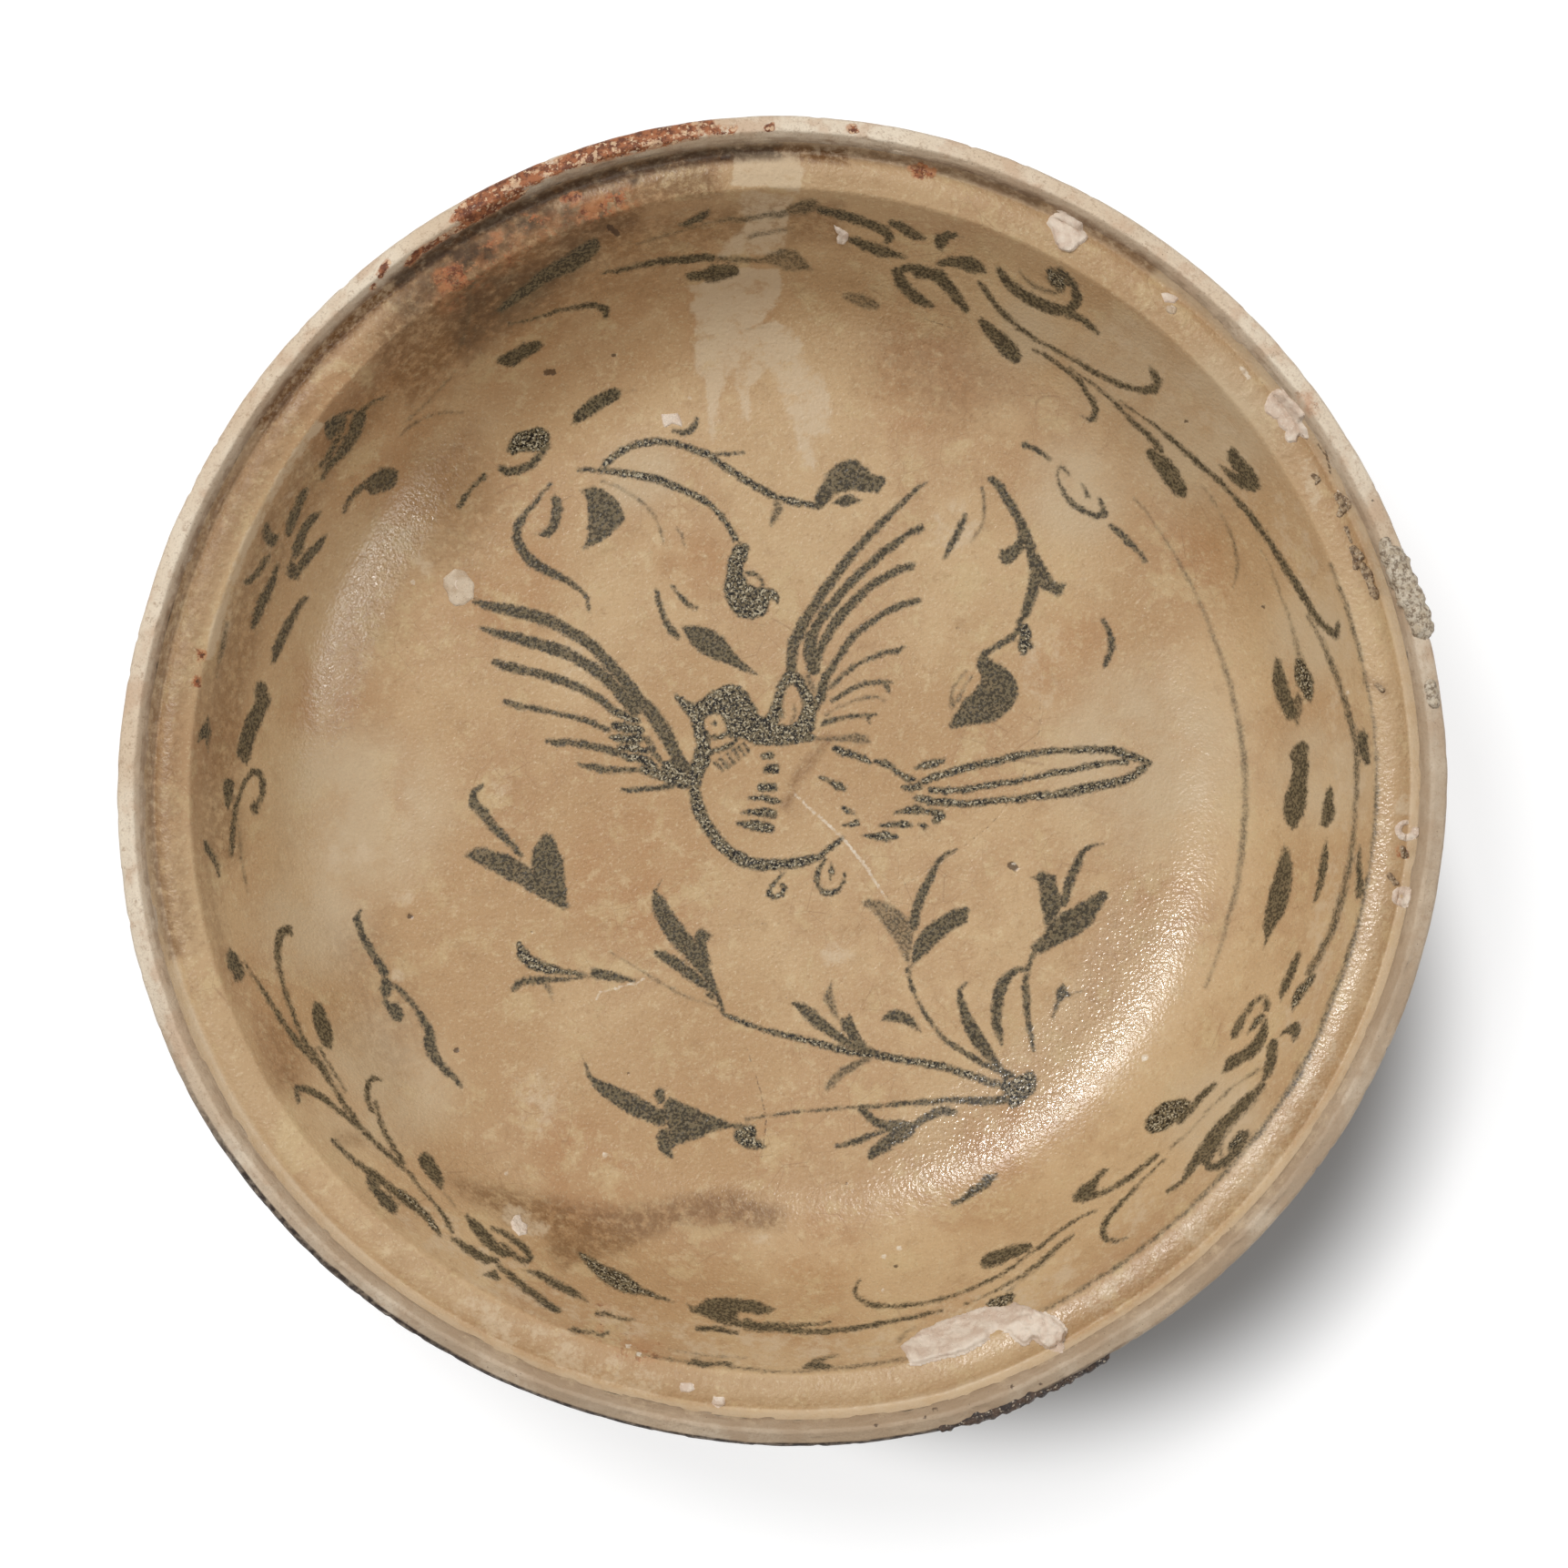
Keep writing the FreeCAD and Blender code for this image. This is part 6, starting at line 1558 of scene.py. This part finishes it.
LIME_SOUTH = (
    990,1480, 1013,1462, 1050,1446, 1085,1436, 1100,1437, 1115,1431, 1140,1440,
    1160,1450, 1170,1462, 1165,1482, 1150,1480, 1135,1470, 1125,1478, 1118,1472, 1110,1462, 1095,1461,
    1080,1475, 1058,1486, 1040,1490, 1001,1499,
)
scab("lime_south_crust", LIME_SOUTH, 1.5, "lime_south_patch", white_lime, half_crumbly, 1.5, 3.0, 2.5, 40)
LIME_EAST = (
    1390,452, 1389,445, 1392,437, 1398,430, 1405,428, 1412,430, 1418,437, 1426,443,
    1432,448, 1437,456, 1431,460, 1430,464, 1434,472, 1438,482, 1433,482, 1428,480, 1425,486, 1415,487,
    1411,480, 1413,474, 1407,470, 1402,462, 1395,457,
)
scab("lime_east_crust", LIME_EAST, 1.0, "lime_east_patch", white_lime, chalky, 1.1, 2.5, 1.6, 44)
LIME_NORTHEAST = (
    1153,238, 1160,234, 1167,235, 1172,238, 1180,241, 1188,246, 1190,253,
    1195,258, 1197,261, 1192,266, 1186,270, 1180,275, 1174,277, 1165,274, 1160,268, 1158,262, 1155,252,
    1150,245,
)
scab("lime_northeast_crust", LIME_NORTHEAST, 1.5, "lime_northeast_patch", white_lime, chalky, 1.1, 2.5,
     1.4, 48)
FLECKS = [
    ("a", (1275,322, 1283,321, 1290,323, 1297,328, 1290,333, 1280,332), 0.8, white_lime, chalky),
    ("b", (915,246, 922,250, 933,257, 932,264, 928,269, 920,268, 918,262, 921,258, 917,252), 0.8,
     white_lime, chalky),
    ("c", (565,1336, 572,1334, 574,1342, 580,1346, 580,1356, 570,1358, 562,1350, 560,1343), 0.9,
     white_lime, crumbly),
    ("d", (748,1520, 760,1519, 764,1527, 757,1531, 748,1529), 0.7, white_lime, chalky),
    ("e", (784,1535, 795,1536, 797,1543, 789,1546, 783,1542), 0.7, white_lime, chalky),
    ("f", (726,455, 745,453, 750,462, 750,470, 738,466, 729,472), 0.6, white_lime, chalky),
    ("g", (1282,336, 1288,334, 1294,338, 1292,345, 1285,346, 1281,341), 0.6, tan_lime, crumbly),
]
for k, (mark, outline, tall, material, look) in enumerate(FLECKS):
    scab("lime_fleck_" + mark, outline, tall, "lime_flecks", material, look, 0.9, 2.0, 1.2, 50 + 3 * k)
BARNACLE_PLATE = (
    487,635, 500,624, 510,626, 522,641, 521,657, 511,665, 500,667, 493,660, 491,652,
    486,645,
)
scab("barnacle_plate", BARNACLE_PLATE, 0.55, "barnacle_scars", tan_lime, chalky, 1.0, 2.0, 0.8, 80)


def circle(x, y, radius, width, gap=0):
    """A ring drawn as a line of points with one width."""
    out = []
    for k in range(17 - gap):
        a = 2 * math.pi * k / 16
        out += [x + radius * math.cos(a), y + radius * math.sin(a), width]
    return tuple(out)


RINGS = [
    ("barnacle_ring_a", circle(1545, 912, 8.5, 7.5, 4), 0.8, "barnacle_scars"),
    ("barnacle_ring_b", circle(1540, 985, 6.5, 9.5), 0.9, "barnacle_scars"),
    ("barnacle_ring_c", circle(506, 642, 6, 2.6), 0.85, "barnacle_scars"),
]
for k, (name, outline, tall, node) in enumerate(RINGS):
    scab(name, outline, tall, node, white_lime, domed, 0.8, 1.6, 1.6, 90 + 3 * k, closed=False)
GRAINS = [
    (1470, 545, 9, 1478, 556, 13, 1472, 565, 9), (1487, 603, 10, 1493, 612, 14, 1490, 622, 9),
    (1497, 622, 10, 1503, 632, 13, 1505, 640, 9), (1506, 644, 9, 1510, 652, 11, 1512, 656, 8),
    (1443, 522, 5, 1449, 527, 6, 1446, 532, 4), (1479, 580, 6, 1483, 590, 6, 1485, 596, 5),
    (1541, 932, 7, 1544, 940, 8), (1527, 962, 7, 1534, 970, 8), (1512, 752, 6, 1519, 758, 7),
]
for k, outline in enumerate(GRAINS):
    scab("gutter_grain_%d" % (k + 1), outline, 1.1, "gutter_crust", brown_sea, crumbly, 0.9, 2.5, 1.4,
         110 + 3 * k, closed=False)

# Each blob: two angles in degrees, two places along the lip's section and the half width in millimetres.
CONCRETION = [(21.2, 18.5, 3.8, 4.4, 2.2), (19.5, 16.0, 5.0, 5.9, 4.3), (16.5, 13.6, 5.8, 7.2, 4.2)]
SLAG = [(-76, -72, 7.9, 8.7, 1.2), (-73, -68, 8.7, 8.9, 1.9), (-67, -60.5, 9.6, 9.8, 1.5)]
lip_lump("rim_concretion_lump", CONCRETION, 2.1, "rim_concretion", sea, 130)
lip_lump("rim_nodule_lump", [(8.0, 6.7, 5.8, 6.2, 2.0)], 1.5, "rim_nodule", sea, 140, 0.8, 0.35)
lip_lump("kiln_slag_crust", SLAG, 1.6, "kiln_crust", slag, 150)

# Floor, light and camera

# The ground glows for camera, glossy and transmission rays, more the farther it is from a point beside the
# bowl on its shadow side: painted light that whitens the ground and shortens the bowl's shadow.
FILL_MIDDLE = (0.0637, -0.0611, 0)

floor_mesh = bpy.data.meshes.new("floor")
floor_mesh.from_pydata([(-9, -9, 0), (9, -9, 0), (9, 9, 0), (-9, 9, 0)], [], [(0, 1, 2, 3)])
floor = bpy.data.objects.new("floor", floor_mesh)
bpy.context.scene.collection.objects.link(floor)
net = Net("white_ground")
white = net.add("ShaderNodeBsdfDiffuse", {"Color": (0.36, 0.36, 0.36, 1)})
path = net.add("ShaderNodeLightPath")
seen = net.math("MAXIMUM", path.outputs["Is Camera Ray"], path.outputs["Is Glossy Ray"])
seen = net.math("MAXIMUM", seen, path.outputs["Is Transmission Ray"])
away = net.add("ShaderNodeVectorMath", {0: net.place, 1: FILL_MIDDLE}, operation="DISTANCE").outputs["Value"]
fill = net.times(seen, net.span(away, 0.0965, 0.1355, 0.0, 0.7))
glow = net.add("ShaderNodeEmission", {"Color": (1, 1, 1, 1), "Strength": fill})
both = net.add("ShaderNodeAddShader", {0: white.outputs[0], 1: glow.outputs[0]})
net.tree.links.new(both.outputs[0], net.add("ShaderNodeOutputMaterial").inputs[0])
floor_mesh.materials.append(net.mat)


def aimed(name, data, place, target=(0, 0, 0.04)):
    """A lamp at a place in metres that points at a target."""
    lamp = bpy.data.objects.new(name, data)
    bpy.context.scene.collection.objects.link(lamp)
    lamp.location = place
    lamp.rotation_mode = "QUATERNION"
    lamp.rotation_quaternion = (Vector(target) - Vector(place)).to_track_quat("-Z", "Y")
    return lamp


def towards(azimuth, elevation, distance):
    """The place at a direction in degrees and a distance from the origin."""
    a, e = math.radians(azimuth), math.radians(elevation)
    flat = distance * math.cos(e)
    return flat * math.cos(a), flat * math.sin(a), distance * math.sin(e)


# Each lamp's azimuth, elevation and angular size in degrees, then its energy.
SUNS = [
    ("window", 133, 57, 18, 1.75), ("right_wall_light", 48, 40, 100, 1.35),
    ("left_wall_light", 203, 38, 100, 1.35), ("far_window", -24, 33, 4, 0.22),
]
for name, azimuth, elevation, angle, energy in SUNS:
    sun = bpy.data.lights.new(name, "SUN")
    sun.energy = energy
    sun.angle = math.radians(angle)
    aimed(name, sun, towards(azimuth, elevation, 3.0), (0, 0, 0))
side = bpy.data.lights.new("side_window", "AREA")
side.shape, side.size, side.size_y, side.energy = "RECTANGLE", 0.7, 0.3, 5.6
aimed("side_window", side, towards(-22, 14, 1.6))

world = bpy.data.worlds.new("room")
bpy.context.scene.world = world
world.use_nodes = True
sky = world.node_tree.nodes["Background"]
sky.inputs["Color"].default_value = (1.0, 1.0, 1.0, 1)
sky.inputs["Strength"].default_value = 0.03

camera_data = bpy.data.cameras.new("camera")
camera_data.sensor_width = 36.0
camera_data.lens = FOCAL * 36.0 / PHOTO
camera_data.clip_start, camera_data.clip_end = 0.1, 30
camera = bpy.data.objects.new("camera", camera_data)
bpy.context.scene.collection.objects.link(camera)
turn = Matrix([[RIGHT[k], UP[k], BACK[k]] for k in range(3)])
camera.matrix_world = Matrix.Translation(EYE / 1000) @ turn.to_4x4()
bpy.context.scene.camera = camera
bpy.context.scene.view_settings.view_transform = "Standard"
